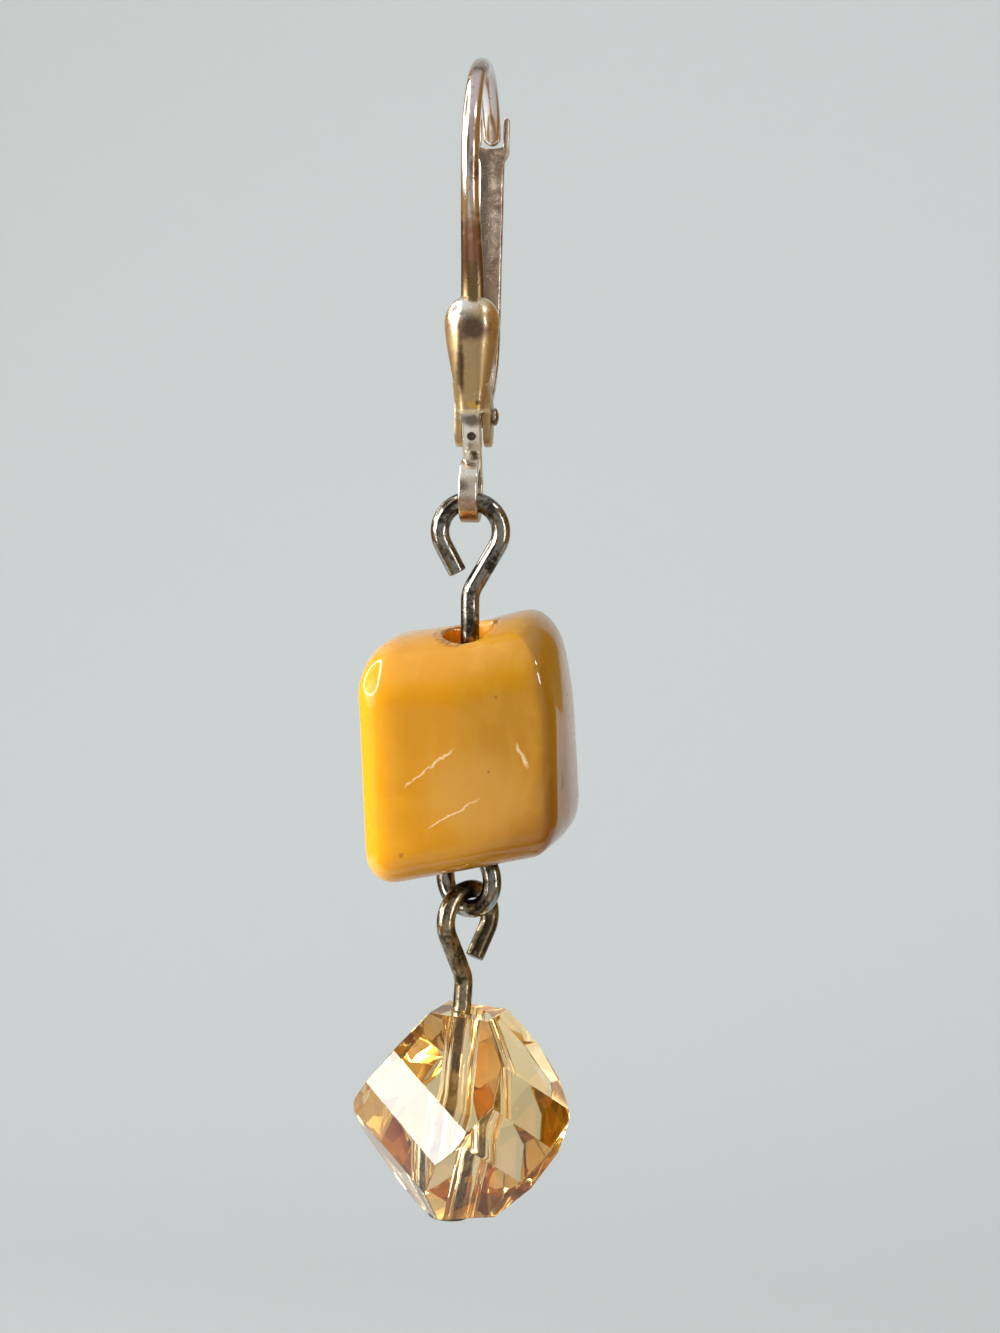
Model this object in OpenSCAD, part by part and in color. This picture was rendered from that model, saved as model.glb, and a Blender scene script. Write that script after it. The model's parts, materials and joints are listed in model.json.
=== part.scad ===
// Leverback earring: an ear wire with a shell drop and a hinged back lever, an amber bead on a double-eyed pin,
// and a facetted crystal bead on a head pin. Sizes are in millimetres.
// The origin is on the ear wire's axis at its highest point, where the earring hangs. The shell faces -Y.

/* [Ear wire] */
// Diameter of the round ear wire
wire_d = 0.66; // [0.5:0.01:0.8]
// Radius of the arch, on the wire's axis
arch_r = 3.75; // [3:0.05:4.5]
// Angle that the arch runs past its top, down to the wire's tip
arch_tip_angle = 74; // [60:1:80]
// Height of the front leg between the arch and the shell
leg_h = 4.7; // [3.5:0.1:6]
// Distance that the leg's foot stands behind the front of the arch
leg_set_back = 1.1; // [0.6:0.05:1.4]
// Width of the flattened wire where it enters the shell
foot_w = 0.86; // [0.7:0.01:1]
// Depth of the flattened wire where it enters the shell
foot_t = 0.6; // [0.45:0.01:0.7]

/* [Shell] */
// Greatest width of the shell
shell_w = 2.05; // [1.7:0.05:2.6]
// Height of the shell
shell_h = 4.25; // [3.5:0.05:5]
// Distance of the shell's flat back behind its axis
shell_back = 0.74; // [0.66:0.01:0.9]
// Distance that the shell's foot stands in front of its top
shell_lean = 0.3; // [0:0.05:0.5]

/* [Hinge] */
// Distance of the rivet's axis behind the shell's foot
rivet_back = 1.1; // [1:0.05:1.3]
// Depth of the rivet's axis below the shell's foot
rivet_drop = 0.23; // [0.1:0.01:0.5]
// Diameter of the rivet
rivet_d = 0.44; // [0.36:0.01:0.5]
// Diameter of the rivet's domed head
rivet_head_d = 0.66; // [0.6:0.01:0.8]
// Height of the rivet's domed head
rivet_head_h = 0.2; // [0.12:0.01:0.3]
// Height that the rivet's flat tail stands out on the other side
rivet_tail_h = 0.03; // [0.02:0.01:0.06]
// Thickness of the two hinge ears
ear_t = 0.27; // [0.2:0.01:0.35]
// Half the depth of an ear at its round foot
ear_r = 0.68; // [0.6:0.01:0.8]
// Depth of the ears' foot below the rivet's axis
ear_drop = 1.13; // [0.9:0.01:1.3]

/* [Lever] */
// Width of the lever where it is free
lever_w = 0.95; // [0.8:0.01:1.2]
// Width of the lever's barrel and of the arm between the ears
barrel_w = 0.72; // [0.6:0.01:0.9]
// Outer diameter of the lever's barrel
barrel_d = 0.86; // [0.8:0.01:0.95]
// Thickness of the lever's strip
lever_t = 0.4; // [0.3:0.01:0.5]
// Length of the arm from the rivet's axis to the bend
arm_l = 2.0; // [1.8:0.05:2.4]
// Slope of the arm above level
arm_angle = 14; // [10:1:20]
// Radius of the lever's bend, on the strip's middle
lever_bend_r = 3.2; // [2.8:0.05:3.6]
// Slope of the upright part above level
upright_angle = 80; // [78:1:82]
// Length that the lever stands above the wire's tip
fork_rise = 0.75; // [0.5:0.05:1]
// Width of the fork at the lever's top
fork_w = 1.3; // [1.2:0.02:1.6]

/* [Ring] */
// Width of the strip that is bent to the ring
ring_w = 0.7; // [0.6:0.01:0.76]
// Thickness of the ring's strip
ring_t = 0.36; // [0.3:0.01:0.4]
// Radius of the ring, on the strip's middle
ring_r = 1.0; // [0.95:0.01:1.2]
// Depth of the ring's centre below the rivet's axis
ring_drop = 2.66; // [2.5:0.01:3]
// Angle on the ring, from its back, where the tongue runs into it
tongue_angle = 20; // [15:1:25]
// Angle on the ring, from its back, where its free end stands
ring_end_angle = 82; // [78:1:95]
// Diameter of the dimple in the tongue
dimple_d = 0.4; // [0.2:0.02:0.5]

/* [Pins] */
// Diameter of the wire of both pins
pin_d = 0.7; // [0.6:0.01:0.75]
// Radius of a pin's eye, on the wire's axis
eye_r = 1.14; // [1.1:0.01:1.25]
// Angle below level where the eye's round part runs out to its neck
eye_open = 30; // [26:1:34]
// Angle below level where the eye's round part runs out to its free end
eye_close = 28; // [24:1:30]
// Length of the straight free end of an eye
eye_tail = 1.15; // [0.9:0.05:1.2]
// Radius of the bend between an eye's neck and its stem
neck_r = 1.2; // [0.9:0.05:1.5]
// Length of the straight stem between the necks of the two eyes
link_stem_l = 7.95; // [7.8:0.05:8.6]
// Length of the straight stem that shows above the crystal
drop_stem_l = 0.95; // [0.7:0.05:1.2]
// Turn of the lower eye about the stem
lower_eye_turn = -33; // [-40:1:-25]
// Turn of the head pin's eye about the vertical
drop_eye_turn = 50; // [45:1:60]
// Lean of the head pin and crystal, foot to the left
drop_lean = 3.5; // [0:0.5:5]
// Diameter of the head pin's flat head
head_d = 1.56; // [1.4:0.02:1.8]
// Thickness of the head pin's flat head
head_t = 0.22; // [0.15:0.01:0.3]

/* [Amber bead] */
// Width of the amber bead
amber_w = 7.6; // [7:0.1:9]
// Depth of the amber bead
amber_t = 5.5; // [5:0.1:6]
// Height of the amber bead at its axis
amber_h = 8.8; // [8.4:0.05:9.2]
// Radius of the rounding at the bead's ends
amber_end_r = 1.4; // [1.2:0.1:2]
// Turn of the amber bead's middle, its right flank to the front
amber_turn = -6; // [-15:1:15]
// Twist of the bead from its foot to its top
amber_twist = 4; // [-20:1:20]
// Slope of the bead's top, rising to the right
amber_top_slope = 8; // [0:0.5:12]
// Slope of the bead's foot, rising to the right
amber_foot_slope = 13; // [0:0.5:15]
// Lean of the bead's sides, foot to the right
amber_lean = 3.0; // [0:0.5:4]
// Diameter of the amber bead's bore
amber_bore_d = 2.0; // [1.9:0.05:2.3]
// Diameter of the worn mouth at the bead's foot
amber_mouth_d = 2.8; // [2.6:0.05:3.2]
// Depth of the worn mouth
amber_mouth_h = 1.0; // [0.8:0.05:1.2]

/* [Crystal bead] */
// Width of the crystal bead over its girdle
crystal_w = 8.0; // [7:0.1:9]
// Height of the crystal bead between its flat ends
crystal_h = 7.8; // [7.5:0.1:8.4]
// Diameter of the crystal bead's bore
crystal_bore_d = 1.3; // [1.2:0.05:1.5]
// Distance of the crystal's bore from the pin's axis, where the bore lies against the pin
crystal_shift = 0.25; // [0:0.05:0.25]
// Turn of the crystal about its bore
crystal_turn = 53; // [-180:1:180]

/* [Clearances] */
// Gap between two flat faces that move past each other
side_gap = 0.04; // [0.03:0.01:0.06]
// Radial gap between the rivet and the lever's bore
bore_gap = 0.03; // [0.02:0.01:0.05]
// Gap between wires where one hangs on the other
hang_gap = 0.09; // [0.08:0.01:0.12]
// Gap between a bead and what it rests on
rest_gap = 0.06; // [0.04:0.01:0.1]

/* [Hidden] */

// Sides of exact round shapes, of the leg's sections and of the amber bead's sections
round_fn = 48;
leg_fn = 16;
amber_fn = 44;

// Places of the main axes, worked out from the sizes above
leg_top_y = -arch_r;
leg_top_z = -arch_r;
shell_top_y = leg_top_y + leg_set_back;
shell_top_z = leg_top_z - leg_h;
shell_foot_y = shell_top_y - shell_lean;
shell_foot_z = shell_top_z - shell_h;
rivet_y = shell_foot_y + rivet_back;
rivet_z = shell_foot_z - rivet_drop;
ring_y = shell_foot_y;
ring_z = rivet_z - ring_drop;

// Inner faces of the hinge ears
ear_in = barrel_w / 2 + side_gap;
ear_out = ear_in + ear_t;

// The eye of the upper pin hangs on the ring's strip
hang_y = ring_y;
hang_z = ring_z - ring_r + ring_t / 2 + hang_gap + pin_d / 2;
top_eye_z = hang_z - eye_r;

// An eye's neck: a straight leg and a reverse bend that bring the stem under the eye's middle
neck_l = (eye_r * cos(eye_open) - neck_r * (1 - cos(eye_open))) / sin(eye_open);
neck_h = (eye_r + neck_r) * sin(eye_open) + neck_l * cos(eye_open);

// The lower eye and the head pin's eye cross with the same gap
low_eye_z = top_eye_z - 2 * neck_h - link_stem_l;
drop_hang_z = low_eye_z - eye_r;
drop_hang_gap = pin_d + hang_gap / 2;

// The amber bead's mouth rests on the lower eye, or on the corner of the eye's free end if that reaches higher
mouth_angle = atan((amber_mouth_d - amber_bore_d) / 2 / amber_mouth_h);
tail_corner_r = (eye_r + pin_d / 2) * cos(eye_close) - eye_tail * sin(eye_close);
tail_corner_h = (eye_r + pin_d / 2) * sin(eye_close) + eye_tail * cos(eye_close);
tail_reach = tail_corner_r * cos(mouth_angle) + tail_corner_h * sin(mouth_angle);
eye_reach = max(tail_reach, eye_r + pin_d / 2) + rest_gap;
amber_seat = (eye_reach / cos(mouth_angle) - amber_mouth_d / 2) / tan(mouth_angle);
amber_mid_z = low_eye_z + amber_seat + amber_h / 2;

// Heights in the head pin's own frame, which starts where it hangs
drop_eye_z = drop_hang_gap - eye_r;
crystal_top_z = drop_eye_z - neck_h - drop_stem_l;
crystal_foot_z = crystal_top_z - crystal_h;

// Sizes that only help the cuts to pass right through
past = 1;
far = 20;

// Width of the chamfer along the edges of flat strips
chamfer = 0.07;

// Stretches of one wire or strip are drawn in turn full and this much slimmer, and the slim one ends inside the full one
slim = 0.01;
joint_l = 0.06;

// Stretches of the leg, from its foot to the arch
leg_steps = 14;
// Squareness of the flattened wire at the leg's foot: 2 is an ellipse
foot_square = 3.4;

// Outline of the shell: height from its foot and half width, as shares
shell_outline = [
    [0.00, 0.44],
    [0.03, 0.49],
    [0.10, 0.53],
    [0.20, 0.60],
    [0.32, 0.70],
    [0.45, 0.81],
    [0.58, 0.91],
    [0.68, 0.97],
    [0.76, 1.00],
    [0.82, 0.99],
    [0.88, 0.93],
    [0.93, 0.82],
    [0.97, 0.68],
    [1.00, 0.48]
];

// Heights of the amber bead's sections, as shares of each rounded end
amber_round_steps = 6;
amber_side_steps = 8;
// Squareness of the amber bead's sections: 2 is an ellipse
amber_square = 4.6;
// Share of the half width that the bead's flanks bulge at mid height
amber_bulge = 0.015;

// Facets of the crystal: turn about the bore, rise above level and distance as a share of the half width
crystal_facets = [
    [0, 0, 1.00],
    [-33, 8, 1.00],
    [8, 13, 0.80],
    [25, 36, 0.81]
];

// Turns a drawing in the XY plane to the side view, with X towards +Y, Y up and its thickness along X
module side_view() {
    rotate([90, 0, 90]) children();
}

// Turns a drawing in the XY plane to the front view, with Y up
module front_view() {
    rotate([90, 0, 0]) children();
}

// Section of a flat strip with chamfered edges, w wide along X and t thick along Y
module strip_section(w, t) {
    a = w / 2;
    b = t / 2;
    c = chamfer;
    polygon([[-a + c, -b], [a - c, -b], [a, -b + c], [a, b - c], [a - c, b], [-a + c, b], [-a, b - c], [-a, -b + c]]);
}

// Straight strip in the side view from the point p at the angle a, a little longer at both ends
module strip_bar(p, a, l, w, t) {
    translate(p) rotate([0, 0, a]) translate([-joint_l, 0, 0]) rotate([0, 90, 0])
        linear_extrude(l + 2 * joint_l) strip_section(w, t);
}

// Bent strip in the side view about the point c, from the angle a0 to the angle a1
module strip_bend(c, r, a0, a1, w, t) {
    translate(c) rotate([0, 0, a0]) rotate_extrude(angle = a1 - a0, $fn = round_fn)
        translate([r, 0]) rotate([0, 0, 90]) strip_section(w, t);
}

// Straight wire in a drawing plane from the point p at the angle a, a little longer at its start
module wire_bar(p, a, l, d) {
    translate(p) rotate([0, 0, a]) translate([-joint_l, 0, 0]) rotate([0, 90, 0])
        cylinder(h = l + joint_l, d = d, $fn = round_fn);
}

// Bent wire in a drawing plane about the point c, from the angle a0 to the angle a1
module wire_bend(c, r, a0, a1, d) {
    translate(c) rotate([0, 0, a0]) rotate_extrude(angle = a1 - a0, $fn = round_fn)
        translate([r, 0]) circle(d = d, $fn = round_fn);
}

// Cylinder along X with its middle on the rivet's axis
module across_rivet(l, d) {
    translate([0, rivet_y, rivet_z]) rotate([0, 90, 0]) cylinder(h = l, d = d, center = true, $fn = round_fn);
}

// Rounded rectangle or ellipse of half sizes a and b, squarer as n grows
function round_box(a, b, n, sides) = [
    for (i = [0 : sides - 1])
        let (t = 360 * (i + 0.5) / sides, c = cos(t), s = sin(t))
        [a * sign(c) * pow(abs(c), 2 / n), b * sign(s) * pow(abs(s), 2 / n)]
];

// Closed skin over rings of points that all have the same number of sides, from the first ring to the last
module skin(rings) {
    n = len(rings[0]);
    last = len(rings) - 1;
    points = [for (ring = rings) for (p = ring) p];
    sides = [
        for (k = [0 : last - 1]) for (i = [0 : n - 1])
            let (j = (i + 1) % n, a = k * n, b = a + n)
            each [[a + i, b + i, b + j], [a + i, b + j, a + j]]
    ];
    caps = [[for (i = [0 : n - 1]) i], [for (i = [n - 1 : -1 : 0]) last * n + i]];
    polyhedron(points = points, faces = concat(sides, caps));
}

// Share from 0 to 1 that starts and ends level, and stays level beyond
function ease(t) =
    let (c = min(max(t, 0), 1))
    c * c * (3 - 2 * c);

// Place of the leg's axis at a share of its height, from the foot to the arch
function leg_y(t) = shell_top_y - leg_set_back * ease(t);

// One section of the leg, square to the wire
function leg_ring(t) =
    let (
        step = 0.01,
        rise = leg_h * 2 * step,
        run = leg_y(t + step) - leg_y(t - step),
        tip = atan2(-run, rise),
        a = (foot_w + (wire_d - slim - foot_w) * ease(t)) / 2,
        b = (foot_t + (wire_d - slim - foot_t) * ease(t)) / 2,
        n = foot_square - (foot_square - 2) * ease(t)
    )
    [for (p = round_box(a, b, n, leg_fn))
        [p.x, leg_y(t) + p.y * cos(tip), shell_top_z + leg_h * t + p.y * sin(tip)]];

// Arch of the ear wire, with its round tip
module arch() {
    side_view() wire_bend([0, -arch_r], arch_r, 90 - arch_tip_angle, 180, wire_d);
    translate([0, arch_r * sin(arch_tip_angle), -arch_r * (1 - cos(arch_tip_angle))])
        sphere(d = wire_d - slim, $fn = round_fn);
}

// Leg of the ear wire, from inside the shell's top to inside the arch
module leg() {
    foot = -joint_l / leg_h;
    top = 1 + joint_l / leg_h;
    skin([for (k = [0 : leg_steps]) leg_ring(foot + (top - foot) * k / leg_steps)]);
}

// Shell with a domed top, a narrow foot and a flat back
module shell() {
    points = [for (row = shell_outline) [shell_w / 2 * row[1], shell_h * row[0]]];
    translate([0, shell_foot_y, shell_foot_z]) rotate([-atan(shell_lean / shell_h), 0, 0])
        difference() {
            rotate_extrude($fn = round_fn) polygon(concat([[0, 0]], points, [[0, shell_h]]));
            translate([-shell_w, shell_back, -past]) cube([2 * shell_w, shell_w, shell_h + 2 * past]);
        }
}

// Outline of a hinge ear in the side view
function ear_outline() =
    let (
        foot_c = [rivet_y - 0.1, rivet_z - ear_drop + ear_r],
        front_z = shell_foot_z + shell_h * 0.09,
        top_z = shell_foot_z + shell_h * 0.34
    )
    concat(
        [[foot_c.x - ear_r, front_z]],
        [for (a = [180 : 12 : 360]) foot_c + ear_r * [cos(a), sin(a)]],
        [[foot_c.x + ear_r, rivet_z + rivet_d], [shell_foot_y + 0.1, top_z], [shell_foot_y - 0.3, top_z]]
    );

// Both hinge ears, bored for the rivet
module ears() {
    difference() {
        for (x = [-ear_out, ear_in])
            translate([x, 0, 0]) side_view() linear_extrude(ear_t) polygon(ear_outline());
        across_rivet(2 * ear_out + past, rivet_d + 2 * bore_gap);
    }
}

// Tongue from the shell's foot down to the ring, and the ring itself
module tongue_and_ring() {
    start = [ring_y + ring_r * cos(tongue_angle), ring_z + ring_r * sin(tongue_angle)];
    run = (shell_foot_z + shell_h * 0.06 - start.y) / cos(tongue_angle);
    difference() {
        side_view() strip_bar(start, 90 + tongue_angle, run, ring_w - slim, ring_t - slim);
        side_view() translate(start + 0.62 * run * [-sin(tongue_angle), cos(tongue_angle)])
            rotate([0, 0, tongue_angle]) translate([-ring_t / 2 - dimple_d * 0.15, 0, 0])
            sphere(d = dimple_d, $fn = round_fn);
    }
    side_view() strip_bend([ring_y, ring_z], ring_r, ring_end_angle - 360, tongue_angle, ring_w, ring_t);
}

// Ear wire, shell, hinge ears and ring, soldered to one piece
module ear_hook() {
    color("silver") union() {
        arch();
        leg();
        shell();
        union() {
            ears();
            tongue_and_ring();
        }
    }
}

// Half outline of the rivet's domed head, from its flat face on
function dome_outline() =
    let (
        rim_h = rivet_head_h * 0.35,
        dome_h = rivet_head_h - rim_h,
        r = rivet_head_d / 2
    )
    concat(
        [[0, 0], [r, 0]],
        [for (a = [0 : 15 : 75]) [r * cos(a), rim_h + dome_h * sin(a)]],
        [[0, rivet_head_h]]
    );

// Rivet with a domed head on the right and a nearly flush tail on the left
module hinge_rivet() {
    seat = ear_out + side_gap;
    tail = ear_out + rivet_tail_h;
    color("dimgray") translate([0, rivet_y, rivet_z]) rotate([0, 90, 0]) union() {
        translate([0, 0, -tail]) cylinder(h = tail + seat + joint_l, d = rivet_d, $fn = round_fn);
        translate([0, 0, seat]) rotate_extrude($fn = round_fn) polygon(dome_outline());
    }
}

// One eye with its neck in the front view, its middle at the origin and its stem running down
module eye(d) {
    end = -eye_r * [cos(eye_close), sin(eye_close)];
    neck_foot = [neck_r * (1 - cos(eye_open)), neck_r * sin(eye_open) - neck_h];
    front_view() {
        wire_bend([0, 0], eye_r, -eye_open, 180 + eye_close, d);
        wire_bar(end, eye_close - 90, eye_tail, d - slim);
        wire_bar(neck_foot, 90 - eye_open, neck_l + joint_l, d - slim);
        wire_bend([neck_r, -neck_h], neck_r, 180 - eye_open, 180, d);
    }
}

// Upper pin with an eye at each end
module eye_pin() {
    color("slategray") translate([0, hang_y, 0]) union() {
        translate([0, 0, top_eye_z]) eye(pin_d);
        translate([0, 0, low_eye_z]) rotate([0, 0, lower_eye_turn]) rotate([180, 0, 0]) eye(pin_d);
        translate([0, 0, low_eye_z + neck_h - joint_l])
            cylinder(h = link_stem_l + 2 * joint_l, d = pin_d - slim, $fn = round_fn);
    }
}

// Frame of the head pin and crystal: the lower hanging point, leaning
module drop_frame() {
    translate([0, hang_y, drop_hang_z]) rotate([0, drop_lean, 0]) children();
}

// Lower pin with one eye and a flat head
module head_pin() {
    foot = crystal_foot_z - rest_gap;
    color("darkgoldenrod") drop_frame() union() {
        translate([0, 0, drop_eye_z]) rotate([0, 0, drop_eye_turn]) mirror([1, 0, 0]) eye(pin_d);
        translate([0, 0, foot - head_t / 2])
            cylinder(h = drop_eye_z - neck_h - foot + head_t / 2 + joint_l, d = pin_d - slim, $fn = round_fn);
        translate([0, 0, foot - head_t]) cylinder(h = head_t, d = head_d, $fn = round_fn);
    }
}

// Lever: barrel, arm, bend, upright and fork
module lever() {
    dir = [cos(arm_angle), sin(arm_angle)];
    bend_start = [rivet_y, rivet_z] + arm_l * dir;
    bend_c = bend_start + lever_bend_r * [-dir.y, dir.x];
    upright = [cos(upright_angle), sin(upright_angle)];
    upright_start = bend_c + lever_bend_r * [upright.y, -upright.x];
    tip_z = -arch_r * (1 - cos(arch_tip_angle)) - wire_d / 2;
    slot_foot_z = tip_z - hang_gap;
    top_z = tip_z + wire_d / 2 + fork_rise;
    upright_l = (top_z - upright_start.y) / upright.y;
    fork_l = (top_z - slot_foot_z) / upright.y + fork_w / 4;
    slot_w = wire_d + 2 * hang_gap;
    narrow_l = arm_l * 0.66;
    arm_wide = [rivet_y, rivet_z] + narrow_l * dir;
    fork_start = upright_start + (upright_l - fork_l) * upright;
    color("gray") difference() {
        union() {
            across_rivet(barrel_w, barrel_d);
            side_view() {
                strip_bar([rivet_y, rivet_z], arm_angle, narrow_l, barrel_w, lever_t - 2 * slim);
                strip_bar(arm_wide, arm_angle, arm_l - narrow_l, lever_w - slim, lever_t - slim);
                strip_bend(bend_c, lever_bend_r, arm_angle - 90, upright_angle - 90, lever_w, lever_t);
                strip_bar(upright_start, upright_angle, upright_l - joint_l, lever_w - slim, lever_t - slim);
                strip_bar(fork_start, upright_angle, fork_l, fork_w, lever_t);
            }
        }
        across_rivet(barrel_w + past, rivet_d + 2 * bore_gap);
        translate([-slot_w / 2, 0, slot_foot_z]) cube([slot_w, far, far]);
    }
}

// Height of a section of the amber bead and how far its flanks have drawn in there
function amber_levels() =
    let (
        r = amber_end_r,
        h = amber_h / 2
    )
    concat(
        [for (k = [0 : amber_round_steps - 1])
            let (a = 90 * k / amber_round_steps)
            [-h + r - r * cos(a), r - r * sin(a)]],
        [for (k = [0 : amber_side_steps])
            let (t = k / amber_side_steps)
            [(-h + r) * (1 - t) + (h - r) * t, -amber_bulge * amber_w * sin(180 * t)]],
        [for (k = [amber_round_steps - 1 : -1 : 0])
            let (a = 90 * k / amber_round_steps)
            [h - r + r * cos(a), r - r * sin(a)]]
    );

// One section of the amber bead, turned, twisted and sheared
function amber_ring(level) =
    let (
        share = level[0] / amber_h + 0.5,
        slope = amber_foot_slope + (amber_top_slope - amber_foot_slope) * share,
        turn = amber_turn + amber_twist * level[0] / amber_h,
        a = amber_w / 2 - level[1],
        b = amber_t / 2 - level[1]
    )
    [for (p = round_box(a, b, amber_square, amber_fn))
        let (
            x = p.x * cos(turn) - p.y * sin(turn),
            y = p.x * sin(turn) + p.y * cos(turn)
        )
        [x - level[0] * tan(amber_lean), y, level[0] + x * tan(slope)]];

// Butterscotch amber bead with a wide bore and a worn mouth at its foot
module amber_bead() {
    flare = (amber_mouth_d - amber_bore_d) / 2 / amber_mouth_h;
    color("goldenrod") translate([0, hang_y, amber_mid_z]) difference() {
        skin([for (level = amber_levels()) amber_ring(level)]);
        cylinder(h = 2 * amber_h, d = amber_bore_d, center = true, $fn = round_fn);
        translate([0, 0, -amber_h / 2 - past])
            cylinder(
                h = amber_mouth_h + past,
                r1 = amber_mouth_d / 2 + past * flare,
                r2 = amber_bore_d / 2,
                $fn = round_fn
            );
    }
}

// Half space beyond a facet of the crystal
module facet_cut(turn, rise, distance) {
    rotate([0, 0, turn]) rotate([0, -rise, 0]) translate([distance, -far / 2, -far / 2]) cube(far);
}

// Crystal whose facets repeat four times about the bore and wind from one flat end to the other
module crystal_bead() {
    color("wheat") drop_frame() translate([crystal_shift, 0, (crystal_top_z + crystal_foot_z) / 2])
        rotate([0, 0, crystal_turn]) difference() {
            cylinder(h = crystal_h, d = 1.5 * crystal_w, center = true, $fn = round_fn);
            for (k = [0 : 3])
                for (flip = [0, 180])
                    for (f = crystal_facets)
                        rotate([0, 0, 90 * k]) rotate([flip, 0, 0])
                            facet_cut(f[0], f[1], f[2] * crystal_w / 2);
            cylinder(h = 2 * crystal_h, d = crystal_bore_d, center = true, $fn = round_fn);
        }
}

ear_hook();
hinge_rivet();
lever();
eye_pin();
amber_bead();
head_pin();
crystal_bead();
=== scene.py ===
"""Leverback earring with an amber bead and a facetted crystal, in a small studio."""
import json
import logging
import math
from dataclasses import dataclass
from enum import Enum

import bmesh
import bpy
import numpy as np
from mathutils import Matrix, Vector

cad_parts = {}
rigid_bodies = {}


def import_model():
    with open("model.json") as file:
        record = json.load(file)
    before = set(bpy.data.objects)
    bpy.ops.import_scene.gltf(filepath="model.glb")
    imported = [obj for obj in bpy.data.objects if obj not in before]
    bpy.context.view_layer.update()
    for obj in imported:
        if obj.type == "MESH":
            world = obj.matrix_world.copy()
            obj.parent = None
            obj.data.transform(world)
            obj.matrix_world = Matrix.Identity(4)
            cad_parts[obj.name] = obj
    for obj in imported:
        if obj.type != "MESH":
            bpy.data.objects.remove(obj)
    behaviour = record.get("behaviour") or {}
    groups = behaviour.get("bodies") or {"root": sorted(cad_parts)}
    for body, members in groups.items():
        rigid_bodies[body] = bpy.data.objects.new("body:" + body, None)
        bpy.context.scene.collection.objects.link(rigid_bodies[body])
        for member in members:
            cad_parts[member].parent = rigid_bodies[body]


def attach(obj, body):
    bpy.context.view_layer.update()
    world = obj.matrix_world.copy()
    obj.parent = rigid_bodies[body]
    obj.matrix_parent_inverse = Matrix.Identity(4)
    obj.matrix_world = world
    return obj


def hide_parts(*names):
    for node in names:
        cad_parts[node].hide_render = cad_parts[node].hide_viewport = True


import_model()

Pair = tuple[float, float]
Point = tuple[float, float, float]
Colour = tuple[float, float, float]
Mesh = bpy.types.Mesh
Material = bpy.types.Material

LOG = logging.getLogger("earring")
MM = 0.001
AMBER_IOR = 1.54
CRYSTAL_IOR = 1.58
ORIGIN: Pair = (0.0, 0.0)
SAME_POINT_MM = 0.004
SAME_VERTEX_M = 1e-8
THINNEST_SHARE = 0.02
# How uneven bars are, as a share of their width: drawn wire, and strip that was worked by hand.
DRAWN = 0.012
HAMMERED = 0.02
PIT_COLOUR: Colour = (0.05, 0.035, 0.025)
# Places in mm that several pieces share: the rivet's axis in the side view, the drops' plane,
# the amber's middle and the crystal's middle.
RIVET: Pair = (-1.85, -12.93)
DROP_Y = -2.95
AMBER_MID_Z = -25.19
CRYSTAL_MID: Point = (0.0, DROP_Y, -39.0)


class Section(Enum):
    """Section of a bar that is swept along a path."""

    ROUND = "round"
    STRIP = "strip"


class Grain(Enum):
    """Direction of the fine lines in a metal finish."""

    DRAWN = "drawn"
    RUBBED = "rubbed"


@dataclass(frozen=True)
class Station:
    """One place on a bar's path in mm, with the shares of its width and thickness there."""

    at: Vector
    wide: float = 1.0
    thick: float = 1.0


class Num:
    """Output of a node, with plain arithmetic."""

    def __init__(self, graph: "Graph", socket: bpy.types.NodeSocket) -> None:
        """Keeps the output with its graph."""
        self.graph, self.socket = graph, socket

    def __add__(self, other: object) -> "Num":
        """Adds with one node."""
        return self.graph.math("ADD", self, other)

    def __sub__(self, other: object) -> "Num":
        """Subtracts with one node."""
        return self.graph.math("SUBTRACT", self, other)

    def __mul__(self, other: object) -> "Num":
        """Multiplies with one node."""
        return self.graph.math("MULTIPLY", self, other)


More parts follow.
